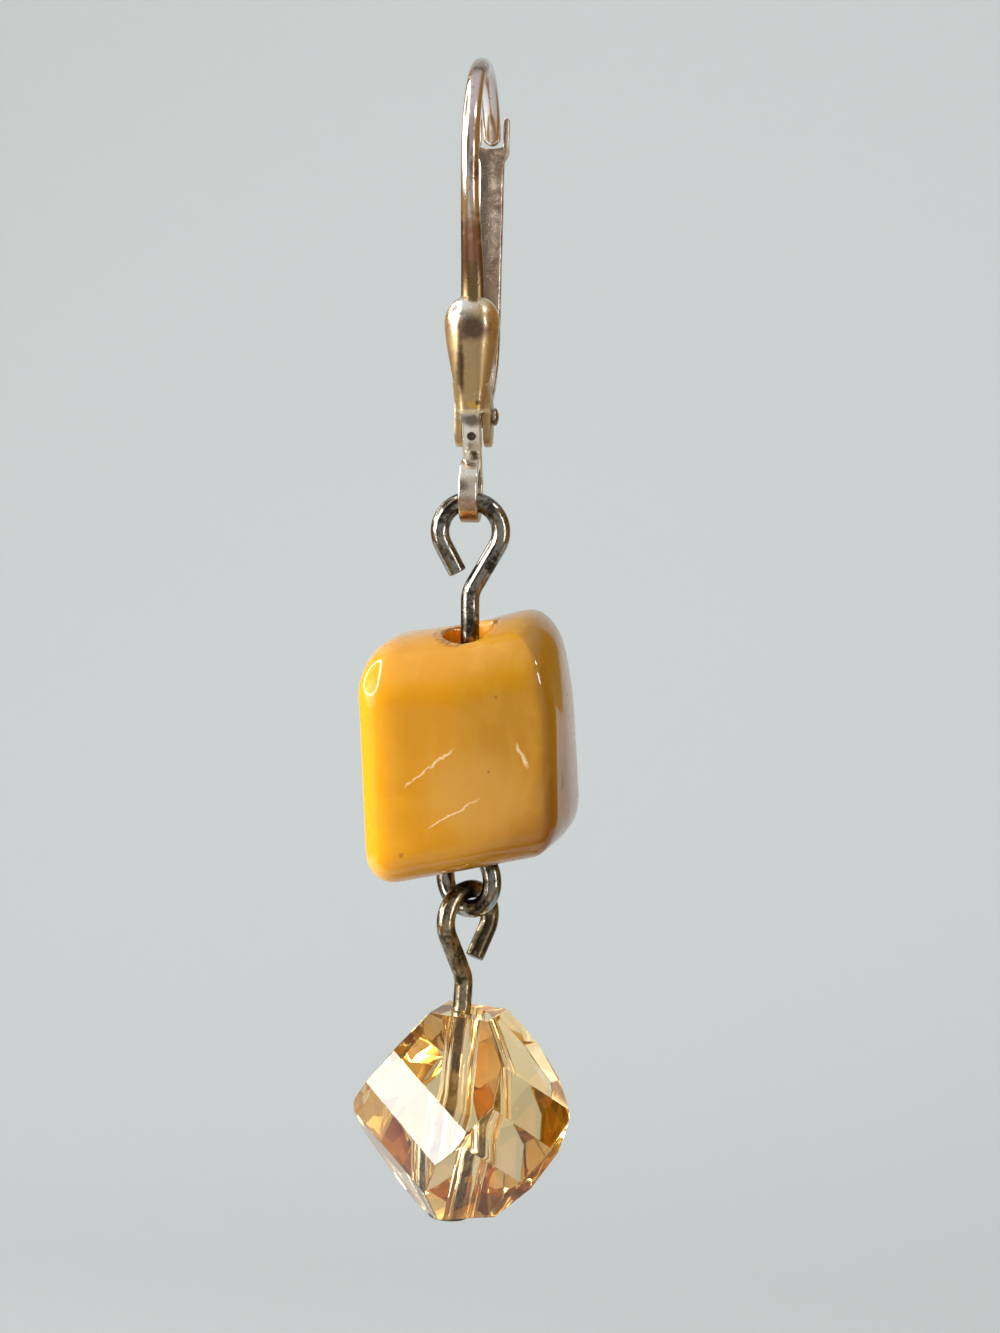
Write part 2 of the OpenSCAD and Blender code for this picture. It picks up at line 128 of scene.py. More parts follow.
class Graph:
    """A node tree that is built one node at a time."""

    def __init__(self, tree: bpy.types.NodeTree) -> None:
        """Takes the tree of a material, a world or a modifier and empties it."""
        self.tree = tree
        tree.nodes.clear()

    def add(self, kind: str, sockets: dict | None = None, **settings: object) -> bpy.types.Node:
        """Adds a node.

        Args:
            kind: the node's type.
            sockets: input name or number to a value, or to the output that it takes.
            settings: properties of the node.

        Returns:
            The node.
        """
        node = self.tree.nodes.new(kind)
        for key, value in settings.items():
            setattr(node, key, value)
        for key, value in (sockets or {}).items():
            if isinstance(value, Num):
                self.tree.links.new(value.socket, node.inputs[key])
            elif value is not None:
                node.inputs[key].default_value = value
        return node

    def out(self, kind: str, output: str | int, sockets: dict | None = None,
            **settings: object) -> Num:
        """Adds a node and gives one of its outputs."""
        return Num(self, self.add(kind, sockets, **settings).outputs[output])

    def math(self, operation: str, *values: object) -> Num:
        """Works out one sum of numbers or outputs."""
        return self.out("ShaderNodeMath", 0, dict(enumerate(values)), operation=operation)

    def vector(self, operation: str, *values: object) -> Num:
        """Works out one sum of vectors.

        Args:
            operation: the Vector Math node's operation.
            values: vectors or outputs.

        Returns:
            The vector's output, or the number's for a length or a product.
        """
        output = "Value" if operation in ("DOT_PRODUCT", "LENGTH") else "Vector"
        sockets = dict(enumerate(values))
        return self.out("ShaderNodeVectorMath", output, sockets, operation=operation)

    def scaled(self, a: object, factor: object) -> Num:
        """Multiplies a vector by a number."""
        return self.out("ShaderNodeVectorMath", 0, {0: a, "Scale": factor}, operation="SCALE")

    def axes(self, vector: Num) -> list[Num]:
        """Splits a vector into X, Y and Z."""
        return [Num(self, s) for s in self.add("ShaderNodeSeparateXYZ", {0: vector}).outputs]

    def combine(self, x: object, y: object = 0.0, z: object = 0.0) -> Num:
        """Joins X, Y and Z to a vector."""
        return self.out("ShaderNodeCombineXYZ", 0, {0: x, 1: y, 2: z})

    def remap(self, value: Num, low: float, high: float, start: float = 0.0,
              end: float = 1.0) -> Num:
        """Maps low..high smoothly to start..end."""
        ends = {"Value": value, "From Min": low, "From Max": high, "To Min": start, "To Max": end}
        return self.out("ShaderNodeMapRange", "Result", ends, interpolation_type="SMOOTHSTEP")

    def blend(self, share: object, a: object, b: object) -> Num:
        """Blends two colours, each a tuple or an output."""
        a, b = ((*c, 1.0) if isinstance(c, tuple) else c for c in (a, b))
        return self.out("ShaderNodeMix", 2, {0: share, 6: a, 7: b}, data_type="RGBA")

    def noise(self, place: Num, scale: float, detail: float = 3.0, rough: float = 0.55,
              distort: float = 0.0) -> Num:
        """Adds a noise pattern, about 0.5 in the middle."""
        return self.out("ShaderNodeTexNoise", "Fac", {
            "Vector": place, "Scale": scale, "Detail": detail, "Roughness": rough,
            "Distortion": distort})

    def place_mm(self) -> Num:
        """Gives the place on the piece in mm, from Object coordinates."""
        return self.scaled(self.out("ShaderNodeTexCoord", "Object"), 1000.0)

    def store(self, shape: Num, name: str, kind: str, value: Num) -> Num:
        """Stores a value on the points of a shape."""
        sockets = {"Geometry": shape, "Name": name, "Value": value}
        return self.out("GeometryNodeStoreNamedAttribute", 0, sockets, data_type=kind)

    def read(self, name: str, kind: str = "FLOAT") -> Num:
        """Reads a stored value."""
        return self.out("GeometryNodeInputNamedAttribute", 0, {"Name": name}, data_type=kind)

    def surface(self, sockets: dict, height: Num, strength: float,
                volume: Num | None = None) -> None:
        """Ends a material with a bumped Principled shader.

        Args:
            sockets: the shader's own inputs.
            height: height of the bumps in mm.
            strength: their strength.
            volume: the body's shader, where light goes through it.
        """
        sizes = {"Height": height, "Strength": strength, "Distance": MM}
        bump = self.out("ShaderNodeBump", "Normal", sizes)
        sockets = {**sockets, "Normal": bump, "Coat Normal": bump}
        shader = self.out("ShaderNodeBsdfPrincipled", 0, sockets)
        self.add("ShaderNodeOutputMaterial", {"Surface": shader, "Volume": volume})


@dataclass(frozen=True)
class Finish:
    """Named finish that makes a material."""

    name: str

    def material(self) -> Material:
        """Makes the material.

        Returns:
            The material.
        """
        material = bpy.data.materials.new(self.name)
        material.use_nodes = True
        self.paint(Graph(material.node_tree))
        return material

    def paint(self, g: Graph) -> None:
        """Adds the nodes of the material."""
        raise NotImplementedError


@dataclass(frozen=True)
class StainOrPaintedLight:
    """A spot laid on the front of a piece, in mm on the XZ plane: a stain, a painted highlight,
    painted shade or a painted reflection.
    """

    at: Pair
    size: Pair
    colour: Colour
    share: float = 0.85


@dataclass(frozen=True)
class MetalFinish(Finish):
    """Worn metal with darker patina in patches, fine lines, and spots that are stains, painted
    highlights, painted shade or painted reflections.
    """

    clean: Colour
    patina: Colour
    patina_level: float
    patch_mm: float
    smooth: float
    dull: float
    grain: Grain
    line_depth_mm: float = 0.004
    fade_mm: Pair = (0.0, 0.0)
    stains_and_painted_light: tuple[StainOrPaintedLight, ...] = ()

    def paint(self, g: Graph) -> None:
        """Adds the nodes of the material.

        Args:
            g: its graph.
        """
        place = g.place_mm()
        spots = g.noise(place, 7.0 / self.patch_mm, 3.0, 0.5) - 0.5
        level = g.noise(place, 1.0 / self.patch_mm, 5.0, 0.62, 0.6) + spots * 0.35
        top, foot = self.fade_mm
        if foot != top:
            level += g.remap(g.axes(place)[2], foot, top, 0.16, -0.12)
        tarnished = g.remap(level, self.patina_level - 0.09, self.patina_level + 0.12)
        colour = g.blend(tarnished, self.clean, self.patina)
        ragged = (g.noise(place, 3.5, 4.0, 0.65) - 0.5) * 0.8
        # Lays the spots over the metal's colour: real stains, and painted highlights, shade and
        # reflections.
        for stain_or_light in self.stains_and_painted_light:
            off = g.vector("SUBTRACT", place, (stain_or_light.at[0], 0.0, stain_or_light.at[1]))
            off = g.vector("MULTIPLY", off, (1.0 / stain_or_light.size[0], 0.0, 1.0 / stain_or_light.size[1]))
            far = g.vector("LENGTH", off) + ragged
            colour = g.blend(g.remap(far, 1.3, 0.45, 0.0, stain_or_light.share), colour, stain_or_light.colour)
        pits = g.remap(g.noise(place, 16.0 / self.patch_mm, 2.0, 0.5), 0.66, 0.78)
        colour = g.blend(pits * 0.5, colour, PIT_COLOUR)
        if self.grain is Grain.DRAWN:
            lines = g.noise(g.out("ShaderNodeAttribute", "Vector", attribute_name="grain"),
                            9.0, 4.0, 0.7)
        else:
            lines = g.noise(g.vector("MULTIPLY", place, (14.0, 14.0, 1.3)), 1.0, 4.0, 0.7, 0.3)
        rough = g.remap(level, 0.3, 0.75, self.smooth, self.dull) + lines * 0.07
        dents = g.noise(place, 1.3, 2.0, 0.4)
        height = lines * self.line_depth_mm + dents * 0.02 - pits * 0.006
        g.surface({"Base Color": colour, "Metallic": 1.0, "Roughness": rough}, height, 0.6)


@dataclass(frozen=True)
class ScratchOrPaintedHighlight:
    """A pale streak on the amber's front, in mm on the XZ plane: two are scratches and one is a
    painted highlight.
    """

    start: Pair
    end: Pair
    width: float


@dataclass(frozen=True)
class AmberFinish(Finish):
    """Polished butterscotch amber: cloudy, with painted shade at the right, a few scratches and
    pits, and a painted highlight.

    A pit has its place on the XZ plane and its radius, in mm.
    """

    centre: Point
    scratches_and_highlight: tuple[ScratchOrPaintedHighlight, ...]
    pits: tuple[Point, ...]

    def paint(self, g: Graph) -> None:
        """Adds the nodes of the material.

        Args:
            g: its graph.
        """
        place = g.vector("SUBTRACT", g.place_mm(), self.centre)
        x, y, z = g.axes(place)
        warp = (g.noise(place, 0.32, 3.0, 0.5, 0.5) - 0.5) * 3.0
        sideways = x + warp + z * 0.1
        tall = g.vector("MULTIPLY", place, (1.0, 1.0, 0.35))
        veins = g.remap(g.noise(tall, 0.9, 4.0, 0.6, 1.2), 0.46, 0.68)
        specks = g.remap(g.noise(place, 6.0, 2.0, 0.5), 0.64, 0.74)
        off = g.vector("SUBTRACT", place, (0.5, 0.0, -1.2))
        off = g.vector("LENGTH", g.vector("MULTIPLY", off, (0.5, 0.0, 0.55)))
        pale = g.remap(off + warp * 0.3, 1.3, 0.4)
        far = g.math("SQRT", x * x + y * y)
        worn = g.remap(far, 1.5, 1.3) * g.remap(g.noise(place, 5.0, 4.0, 0.7), 0.49, 0.53)
        worn *= g.remap(x, 0.2, -0.3) * g.math("GREATER_THAN", z, 3.0)
        front = g.math("LESS_THAN", y, 0.0)
        marks, dips = self.marks(g, x, z, place) * front, self.dips(g, x, z) * front
        colour: object = (0.89, 0.415, 0.015)
        # Painted light and shade: bright at the left where the key light falls; the first three
        # tones darken it towards the right and the lower right.
        for share, tone in (
                (g.remap(sideways, -3.9, -1.6), (0.61, 0.275, 0.010)),
                (g.remap(sideways, -1.4, 2.0), (0.49, 0.232, 0.008)),
                (g.remap(x - z * 0.75, 2.2, 5.6, 0.0, 0.75), (0.33, 0.125, 0.012)),
                (veins * 0.22, (0.70, 0.38, 0.05)),
                (specks * 0.07, (0.45, 0.20, 0.05)),
                (pale * 0.55, (0.62, 0.34, 0.075)),
                (worn * 0.85, (0.22, 0.075, 0.006)),
                # Pale scratches, with one painted highlight streak among them.
                (marks * 0.75, (0.93, 0.72, 0.45)),
                (dips * 0.5, (0.30, 0.12, 0.03)),
                (g.math("LESS_THAN", far, 1.02) * 0.75, (0.90, 0.34, 0.005))):
            colour = g.blend(share, colour, tone)
        height = g.noise(place, 0.6, 2.0, 0.4) * 0.05 + marks * 0.008 - dips * 0.03
        height += g.noise(place, 5.0, 3.0, 0.6) * 0.0012
        rough = g.remap(g.noise(place, 1.4, 4.0, 0.6), 0.3, 0.7, 0.26, 0.38) + marks * 0.3
        g.surface({"Base Color": colour, "Roughness": rough, "IOR": AMBER_IOR,
                   "Specular IOR Level": 0.08, "Subsurface Weight": 0.45,
                   "Subsurface Radius": (1.0, 0.42, 0.12), "Subsurface Scale": 1.2 * MM,
                   "Coat Weight": 1.0, "Coat Roughness": 0.035, "Coat IOR": AMBER_IOR}, height, 0.7)

    def marks(self, g: Graph, x: Num, z: Num, place: Num) -> Num:
        """Draws the pale scratches and the painted highlight streak.

        Args:
            g: the graph.
            x: place across the bead in mm.
            z: height in mm.
            place: the whole place in mm, for their ragged edges.

        Returns:
            The share of scratch and painted highlight at each place.
        """
        total: object = 0.0
        ragged = (g.noise(place, 3.0, 3.0, 0.6) - 0.5) * 0.35
        broken = g.remap(g.noise(place, 4.5, 2.0, 0.7), 0.28, 0.46)
        for streak in self.scratches_and_highlight:
            run = Vector(streak.end) - Vector(streak.start)
            length = run.length
            ux, uz = run / length
            dx, dz = x - streak.start[0], z - streak.start[1]
            along = dx * ux + dz * uz
            off = g.math("ABSOLUTE", dz * ux - dx * uz + ragged)
            mark = g.remap(off, streak.width, streak.width * 0.3) * broken
            mark *= g.remap(along, -0.1, 0.2) * g.remap(along, length + 0.1, length - 0.3)
            total = g.math("MAXIMUM", total, mark)
        return total

    def dips(self, g: Graph, x: Num, z: Num) -> Num:
        """Draws the small pits.

        Args:
            g: the graph.
            x: place across the bead in mm.
            z: height in mm.

        Returns:
            The share of pit at each place.
        """
        total: object = 0.0
        for px, pz, size in self.pits:
            dx, dz = x - px, z - pz
            far = g.math("SQRT", dx * dx + dz * dz)
            total = g.math("MAXIMUM", total, g.remap(far, size, size * 0.3))
        return total


@dataclass(frozen=True)
class CrystalFinish(Finish):
    """Clear champagne crystal: nearly colourless where light passes straight, else golden.

    The inner sides of its faces glow faintly in cells, for the long ways of light that a
    render cuts off.
    """

    tint: Colour
    density: float
    inner_light: float
    centre: Point

    def paint(self, g: Graph) -> None:
        """Adds the nodes of the material.

        Args:
            g: its graph.
        """
        place = g.place_mm()
        wash = g.remap(g.noise(place, 0.35, 2.0, 0.5), 0.35, 0.65)
        colour = g.blend(wash, (1.0, 0.98, 0.94), (0.99, 0.93, 0.82))
        cell = g.axes(g.out("ShaderNodeTexVoronoi", "Color", {"Vector": place, "Scale": 0.75}))
        x, _, z = g.axes(g.vector("SUBTRACT", place, self.centre))
        # Painted light: the inner glow is emission, brighter towards the lower right.
        low_right = g.remap(x * 0.6 - z * 0.8, -2.5, 2.5, 0.35, 1.0)
        level = g.remap(cell[0], 0.45, 0.9, 0.12, 1.0) * low_right
        level *= g.out("ShaderNodeNewGeometry", "Backfacing") * self.inner_light
        fire = g.scaled(g.blend(cell[1], (1.0, 0.22, 0.005), (1.0, 0.62, 0.02)), level)
        ripple = g.noise(g.vector("MULTIPLY", place, (1.0, 1.0, 0.6)), 1.1, 3.0, 0.5, 1.0)
        rough = g.remap(g.noise(place, 2.2, 4.0, 0.6), 0.55, 0.8, 0.0, 0.05)
        body = g.out("ShaderNodeVolumeAbsorption", 0, {
            "Color": (*self.tint, 1.0), "Density": self.density})
        g.surface({"Base Color": colour, "Roughness": rough, "IOR": CRYSTAL_IOR,
                   "Transmission Weight": 1.0, "Emission Color": fire, "Emission Strength": 1.0},
                  ripple * 0.004, 0.15, body)


@dataclass(frozen=True)
class SweepFinish(Finish):
    """Pale paint of the studio's floor and wall, slightly cooler and darker at the floor."""

    high: Colour
    low: Colour

    def paint(self, g: Graph) -> None:
        """Adds the nodes of the material.

        Args:
            g: its graph.
        """
        place = g.out("ShaderNodeTexCoord", "Object")
        share = g.remap(g.axes(place)[1], 0.0, 0.55)
        share += (g.noise(place, 6.0, 2.0, 0.5) - 0.5) * 0.15
        fine = g.noise(place, 400.0, 2.0, 0.5)
        g.surface({"Base Color": g.blend(share, self.low, self.high), "Roughness": 0.85,
                   "Specular IOR Level": 0.2}, fine * 0.5, 0.05)


FINISHES = (
    MetalFinish(
        "bright silver wire", clean=(0.74, 0.63, 0.59), patina=(0.23, 0.15, 0.095),
        patina_level=0.47, patch_mm=2.0, smooth=0.12, dull=0.26, grain=Grain.DRAWN,
        fade_mm=(-3.5, -7.0), stains_and_painted_light=(
            # Painted highlight: a white streak down the left of the wire's upper leg.
            StainOrPaintedLight((-0.16, -3.2), (0.2, 2.6), (1.0, 0.97, 0.94)),
            StainOrPaintedLight((0.05, -6.3), (0.3, 0.9), (0.52, 0.24, 0.17), 0.6),
            StainOrPaintedLight((0.0, -8.0), (0.4, 0.8), (0.26, 0.19, 0.08), 0.8))),
    MetalFinish(
        "tarnished silver", clean=(0.80, 0.67, 0.47), patina=(0.54, 0.39, 0.20),
        patina_level=0.50, patch_mm=0.6, smooth=0.20, dull=0.40, grain=Grain.RUBBED,
        line_depth_mm=0.006, fade_mm=(-8.6, -10.2), stains_and_painted_light=(
            # Painted shade: a dark band on the lower part of the dome.
            StainOrPaintedLight((0.12, -9.50), (0.72, 0.5), (0.11, 0.06, 0.055)),
            # Painted reflection: a nearly black streak down the left of the shell's body.
            StainOrPaintedLight((-0.36, -11.0), (0.17, 1.3), (0.05, 0.035, 0.02), 0.92),
            StainOrPaintedLight((0.0, -12.62), (0.75, 0.12), (0.95, 0.86, 0.62)),
            StainOrPaintedLight((0.12, -12.36), (0.24, 0.16), (0.80, 0.52, 0.10)),
            StainOrPaintedLight((0.3, -12.28), (0.1, 0.1), (0.10, 0.06, 0.03)),
            # Painted highlight: a white patch on the dome's upper left.
            StainOrPaintedLight((-0.35, -8.75), (0.5, 0.42), (0.93, 0.91, 0.88)))),
    MetalFinish(
        "rubbed silver", clean=(0.93, 0.87, 0.78), patina=(0.56, 0.42, 0.23),
        patina_level=0.54, patch_mm=0.8, smooth=0.12, dull=0.26, grain=Grain.RUBBED,
        fade_mm=(-14.8, -16.6), stains_and_painted_light=(
            # Painted shade: dark where the tongue runs under the shell's foot.
            StainOrPaintedLight((0.0, -12.95), (0.42, 0.27), (0.09, 0.065, 0.04)),
            # Painted highlight: a white patch on the tongue beside the dimple.
            StainOrPaintedLight((-0.2, -13.55), (0.22, 0.4), (0.97, 0.95, 0.90)),
            StainOrPaintedLight((0.05, -14.2), (0.14, 0.1), (0.25, 0.18, 0.10)),
            StainOrPaintedLight((0.0, -15.95), (0.45, 0.3), (0.42, 0.24, 0.20), 0.7),
            StainOrPaintedLight((0.0, -16.6), (0.5, 0.28), (0.36, 0.18, 0.04)))),
    MetalFinish(
        "blackened silver", clean=(0.22, 0.18, 0.15), patina=(0.08, 0.06, 0.05),
        patina_level=0.45, patch_mm=0.6, smooth=0.3, dull=0.5, grain=Grain.RUBBED),
    MetalFinish(
        "worn rivet", clean=(0.55, 0.47, 0.40), patina=(0.22, 0.15, 0.10),
        patina_level=0.5, patch_mm=0.5, smooth=0.16, dull=0.34, grain=Grain.RUBBED),
    MetalFinish(
        "tarnished strip", clean=(0.66, 0.57, 0.48), patina=(0.30, 0.21, 0.15),
        patina_level=0.52, patch_mm=1.6, smooth=0.14, dull=0.32, grain=Grain.DRAWN),
    MetalFinish(
        "dark drawn wire", clean=(0.36, 0.345, 0.31), patina=(0.05, 0.042, 0.03),
        patina_level=0.48, patch_mm=1.0, smooth=0.09, dull=0.20, grain=Grain.DRAWN,
        line_depth_mm=0.005),
    MetalFinish(
        "brown drawn wire", clean=(0.42, 0.36, 0.25), patina=(0.075, 0.058, 0.034),
        patina_level=0.48, patch_mm=1.0, smooth=0.14, dull=0.28, grain=Grain.DRAWN,
        line_depth_mm=0.005),
    AmberFinish(
        "butterscotch amber", centre=(0.0, DROP_Y, AMBER_MID_Z), scratches_and_highlight=(
            ScratchOrPaintedHighlight((-2.08, -1.19), (-0.26, 0.35), 0.05),
            ScratchOrPaintedHighlight((-1.22, -2.67), (0.75, -1.46), 0.045),
            # Painted highlight: a pale streak on the front's ridge, not a scratch.
            ScratchOrPaintedHighlight((2.07, 0.62), (2.52, -0.28), 0.075)),
        pits=((-2.22, -3.79, 0.13), (1.08, -0.47, 0.08), (1.32, 2.29, 0.10))),
    CrystalFinish(
        "champagne crystal", tint=(0.96, 0.73, 0.09), density=125.0, inner_light=0.17,
        centre=CRYSTAL_MID),
)


def polar(centre: Pair, radius: float, degrees: float) -> Pair:
    """Gives the point at an angle on a circle in a drawing plane."""
    a = math.radians(degrees)
    return (centre[0] + radius * math.cos(a), centre[1] + radius * math.sin(a))


def arc(centre: Pair, radius: float, start: float, end: float, step: float = 4.0) -> list[Pair]:
    """Lists points on an arc in a drawing plane, from one angle in degrees to another."""
    count = max(2, math.ceil(abs(end - start) / step))
    return [polar(centre, radius, start + (end - start) * i / count) for i in range(count + 1)]


def line(start: Pair, end: Pair, step: float) -> list[Pair]:
    """Lists points on a line in a drawing plane, at most a step apart."""
    count = max(1, math.ceil(math.dist(start, end) / step))
    return [tuple(a + (b - a) * i / count for a, b in zip(start, end)) for i in range(count + 1)]


def joined(*runs: list[Pair]) -> list[Pair]:
    """Joins runs of points into one path, without the points that two runs share.

    Args:
        runs: the runs, in order.

    Returns:
        The path.
    """
    path: list[Pair] = []
    for run in runs:
        path += [p for p in run if not path or math.dist(p, path[-1]) > SAME_POINT_MM]
    return path


def side(points: list[Pair]) -> list[Vector]:
    """Turns points of the side view, Y then Z, into space."""
    return [Vector((0.0, y, z)) for y, z in points]


def around(count: int) -> list[float]:
    """Lists equal angles round a circle, in radians."""
    return [math.tau * i / count for i in range(count)]


def across(y: float, z: float) -> Matrix:
    """Gives the place of an axis that runs across the earring."""
    return Matrix.Translation((0.0, y, z)) @ Matrix.Rotation(math.radians(90), 4, "Y")


def soft_step(t: float) -> float:
    """Rises from 0 to 1, level at both ends."""
    c = min(max(t, 0.0), 1.0)
    return c * c * (3 - 2 * c)


def soft_least(a: float, b: float, soft: float) -> float:
    """Gives the smaller of two values, rounded where they cross."""
    h = min(max(0.5 + 0.5 * (b - a) / soft, 0.0), 1.0)
    return b * (1 - h) + a * h - soft * h * (1 - h)


def smooth_rows(rows: list[Pair], steps: int) -> list[Pair]:
    """Draws a smooth line through rows of values.

    Args:
        rows: the values, in order.
        steps: how many points each stretch gets.

    Returns:
        The points of the line.
    """
    found = []
    for k in range(len(rows) - 1):
        p = [Vector(rows[min(max(k + d, 0), len(rows) - 1)]) for d in (-1, 0, 1, 2)]
        slope, curve = p[2] - p[0], 2 * p[0] - 5 * p[1] + 4 * p[2] - p[3]
        twist = 3 * p[1] - p[0] - 3 * p[2] + p[3]
        for t in (i / steps for i in range(steps)):
            found.append(tuple(0.5 * (2 * p[1] + slope * t + curve * t ** 2 + twist * t ** 3)))
    return found + [tuple(rows[-1])]


def rounded_ends(path: list[Vector], width: float, thick: float, start: float,
                 end: float) -> list[Station]:
    """Gives a path stations whose ends are rounded off.

    Args:
        path: the points in mm.
        width: the bar's width.
        thick: the bar's thickness.
        start: radius of the rounding at the first point, or 0.
        end: radius of the rounding at the last point, or 0.

    Returns:
        The stations, with a few more points near each rounded end.
    """
    points = np.array([tuple(p) for p in path])
    lengths = [0.0, *np.cumsum(np.linalg.norm(np.diff(points, axis=0), axis=1)).tolist()]
    total = lengths[-1]
    marks = {round(s, 5) for s in lengths if start < s < total - end}
    for k in range(7):
        gone = 1.0 - math.cos(math.radians(15.0 * k))
        marks |= {round(start * gone, 5), round(total - end * gone, 5)}
    stations = []
    for s in sorted(marks):
        inset = 0.0
        for radius, gap in ((start, s), (end, total - s)):
            if gap < radius:
                inset = radius - math.sqrt(max(radius ** 2 - (radius - gap) ** 2, 0.0))
        at = Vector([float(np.interp(s, lengths, column)) for column in points.T])
        shares = (max(1 - 2 * inset / size, THINNEST_SHARE) for size in (width, thick))
        stations.append(Station(at, *shares))
    return stations


def linked(name: str, mesh: Mesh) -> bpy.types.Object:
    """Makes an object of a mesh and links it to the scene.

    Args:
        name: its name.
        mesh: its mesh.

    Returns:
        The object, at the origin.
    """
    piece = bpy.data.objects.new(name, mesh)
    bpy.context.scene.collection.objects.link(piece)
    return piece


def taken(source: bpy.types.Object) -> Mesh:
    """Takes the evaluated mesh of an object and removes the object with its modifiers.

    Args:
        source: the object.

    Returns:
        The plain mesh.
    """
    graph = bpy.context.evaluated_depsgraph_get()
    graph.update()
    mesh = bpy.data.meshes.new_from_object(source.evaluated_get(graph), depsgraph=graph)
    bpy.data.objects.remove(source)
    return mesh


class ShapeTree:
    """Geometry Nodes tree with named inputs that ends with plain geometry of one finish."""

    def __init__(self, title: str, inputs: dict[str, str]) -> None:
        """Builds the tree.

        Args:
            title: its name.
            inputs: name and socket type of each input, apart from the shape and the material.
        """
        self.group = bpy.data.node_groups.new(title, "GeometryNodeTree")
        face = self.group.interface
        face.new_socket("Shape", in_out="INPUT", socket_type="NodeSocketGeometry")
        self.ids: dict[str, str] = {}
        for label, kind in {**inputs, "Material": "Material"}.items():
            socket = face.new_socket(label, in_out="INPUT", socket_type=f"NodeSocket{kind}")
            self.ids[label] = socket.identifier
        face.new_socket("Result", in_out="OUTPUT", socket_type="NodeSocketGeometry")
        g = Graph(self.group)
        given = {s.name: Num(g, s) for s in g.add("NodeGroupInput").outputs}
        shape = g.out("GeometryNodeRealizeInstances", 0, {0: self.shape(g, given)})
        sockets = {"Geometry": shape, "Material": given["Material"]}
        g.add("NodeGroupOutput", {0: g.out("GeometryNodeSetMaterial", 0, sockets)})

    def shape(self, g: Graph, given: dict[str, Num]) -> Num:
        """Adds the nodes of the shape itself."""
        raise NotImplementedError

    def run(self, source: bpy.types.Object, values: dict[str, object]) -> Mesh:
        """Runs the tree on an object, which is used up.

        Args:
            source: the object.
            values: the value of each input, by its name.

        Returns:
            The plain mesh.
        """
        modifier = source.modifiers.new("shape", "NODES")
        modifier.node_group = self.group
        for label, value in values.items():
            modifier[self.ids[label]] = value
        return taken(source)


class BarTree(ShapeTree):
    """Sweeps a round wire or a flat strip along a polyline."""

    def __init__(self, section: Section) -> None:
        """Builds the tree for one section.

        Args:
            section: the bar's section.
        """
        self.section = section
        sizes = dict.fromkeys(("Width", "Thickness", "Corner", "Wobble", "Seed"), "Float")
        super().__init__(f"{section.value} bar", {**sizes, "Sides": "Int"})

    def shape(self, g: Graph, given: dict[str, Num]) -> Num:
        """Adds the nodes that sweep the bar.

        Args:
            g: the graph.
            given: the inputs.

        Returns:
            The bar, with the direction of its grain stored on it.
        """
        place = g.out("GeometryNodeInputPosition", 0)
        spline = g.add("GeometryNodeSplineParameter").outputs
        curve = g.out("GeometryNodeMeshToCurve", 0, {"Mesh": given["Shape"]})
        curve = g.store(curve, "middle", "FLOAT_VECTOR", place)
        curve = g.store(curve, "along", "FLOAT", Num(g, spline["Length"]))
        if self.section is Section.STRIP:
            curve = g.out("GeometryNodeSetCurveNormal", 0,
                          {"Curve": curve, "Normal": (1.0, 0.0, 0.0)}, mode="FREE")
            shape = g.out("GeometryNodeCurvePrimitiveQuadrilateral", 0,
                          {"Width": given["Width"], "Height": given["Thickness"]})
            shape = g.out("GeometryNodeFilletCurve", 0, {
                "Curve": shape, "Count": given["Sides"], "Radius": given["Corner"],
                "Limit Radius": True}, mode="POLY")
        else:
            shape = g.out("GeometryNodeCurvePrimitiveCircle", 0,
                          {"Resolution": given["Sides"], "Radius": given["Width"] * 0.5})
        shape = g.store(shape, "around", "FLOAT", Num(g, spline["Factor"]))
        bar = g.out("GeometryNodeCurveToMesh", 0, {
            "Curve": curve, "Profile Curve": shape, "Fill Caps": True})
        middle = g.read("middle", "FLOAT_VECTOR")
        wide, thick, along, turn = (g.read(name) for name in ("wide", "thick", "along", "around"))
        spot = g.vector("ADD", g.scaled(place, 1000.0), given["Seed"])
        swell = (g.noise(spot, 0.9, 2.0) - 0.5) * given["Wobble"] + 1.0
        offset = g.vector("SUBTRACT", place, middle)
        offset = g.vector("MULTIPLY", offset, g.combine(wide, thick, thick))
        moved = g.vector("ADD", middle, g.scaled(offset, swell))
        bar = g.out("GeometryNodeSetPosition", 0, {"Geometry": bar, "Position": moved})
        angle = turn * math.tau
        grain = g.combine(g.math("COSINE", angle), g.math("SINE", angle), along * 90.0)
        bar = g.store(bar, "grain", "FLOAT_VECTOR", grain)
        return g.out("GeometryNodeSetShadeSmooth", 0, {"Geometry": bar})

    def sweep(self, stations: list[Station], width: float, thick: float, material: Material,
              sides: int, corner: float = 0.08, wobble: float = DRAWN) -> Mesh:
        """Sweeps the bar.

        Args:
            stations: the places along it in mm.
            width: its width or diameter in mm.
            thick: its thickness in mm.
            material: its finish.
            sides: sides of a round bar, or steps in each corner of a strip.
            corner: radius of a strip's corners in mm.
            wobble: how uneven the bar is, as a share.

        Returns:
            The mesh, in metres.
        """
        mesh = bpy.data.meshes.new("path")
        edges = [(i, i + 1) for i in range(len(stations) - 1)]
        mesh.from_pydata([s.at * MM for s in stations], edges, [])
        for key in ("wide", "thick"):
            column = mesh.attributes.new(key, "FLOAT", "POINT").data
            column.foreach_set("value", [getattr(s, key) for s in stations])
        return self.run(linked("path", mesh), {
            "Width": width * MM, "Thickness": thick * MM, "Corner": corner * MM, "Sides": sides,
            "Wobble": wobble, "Seed": float(len(stations)), "Material": material})


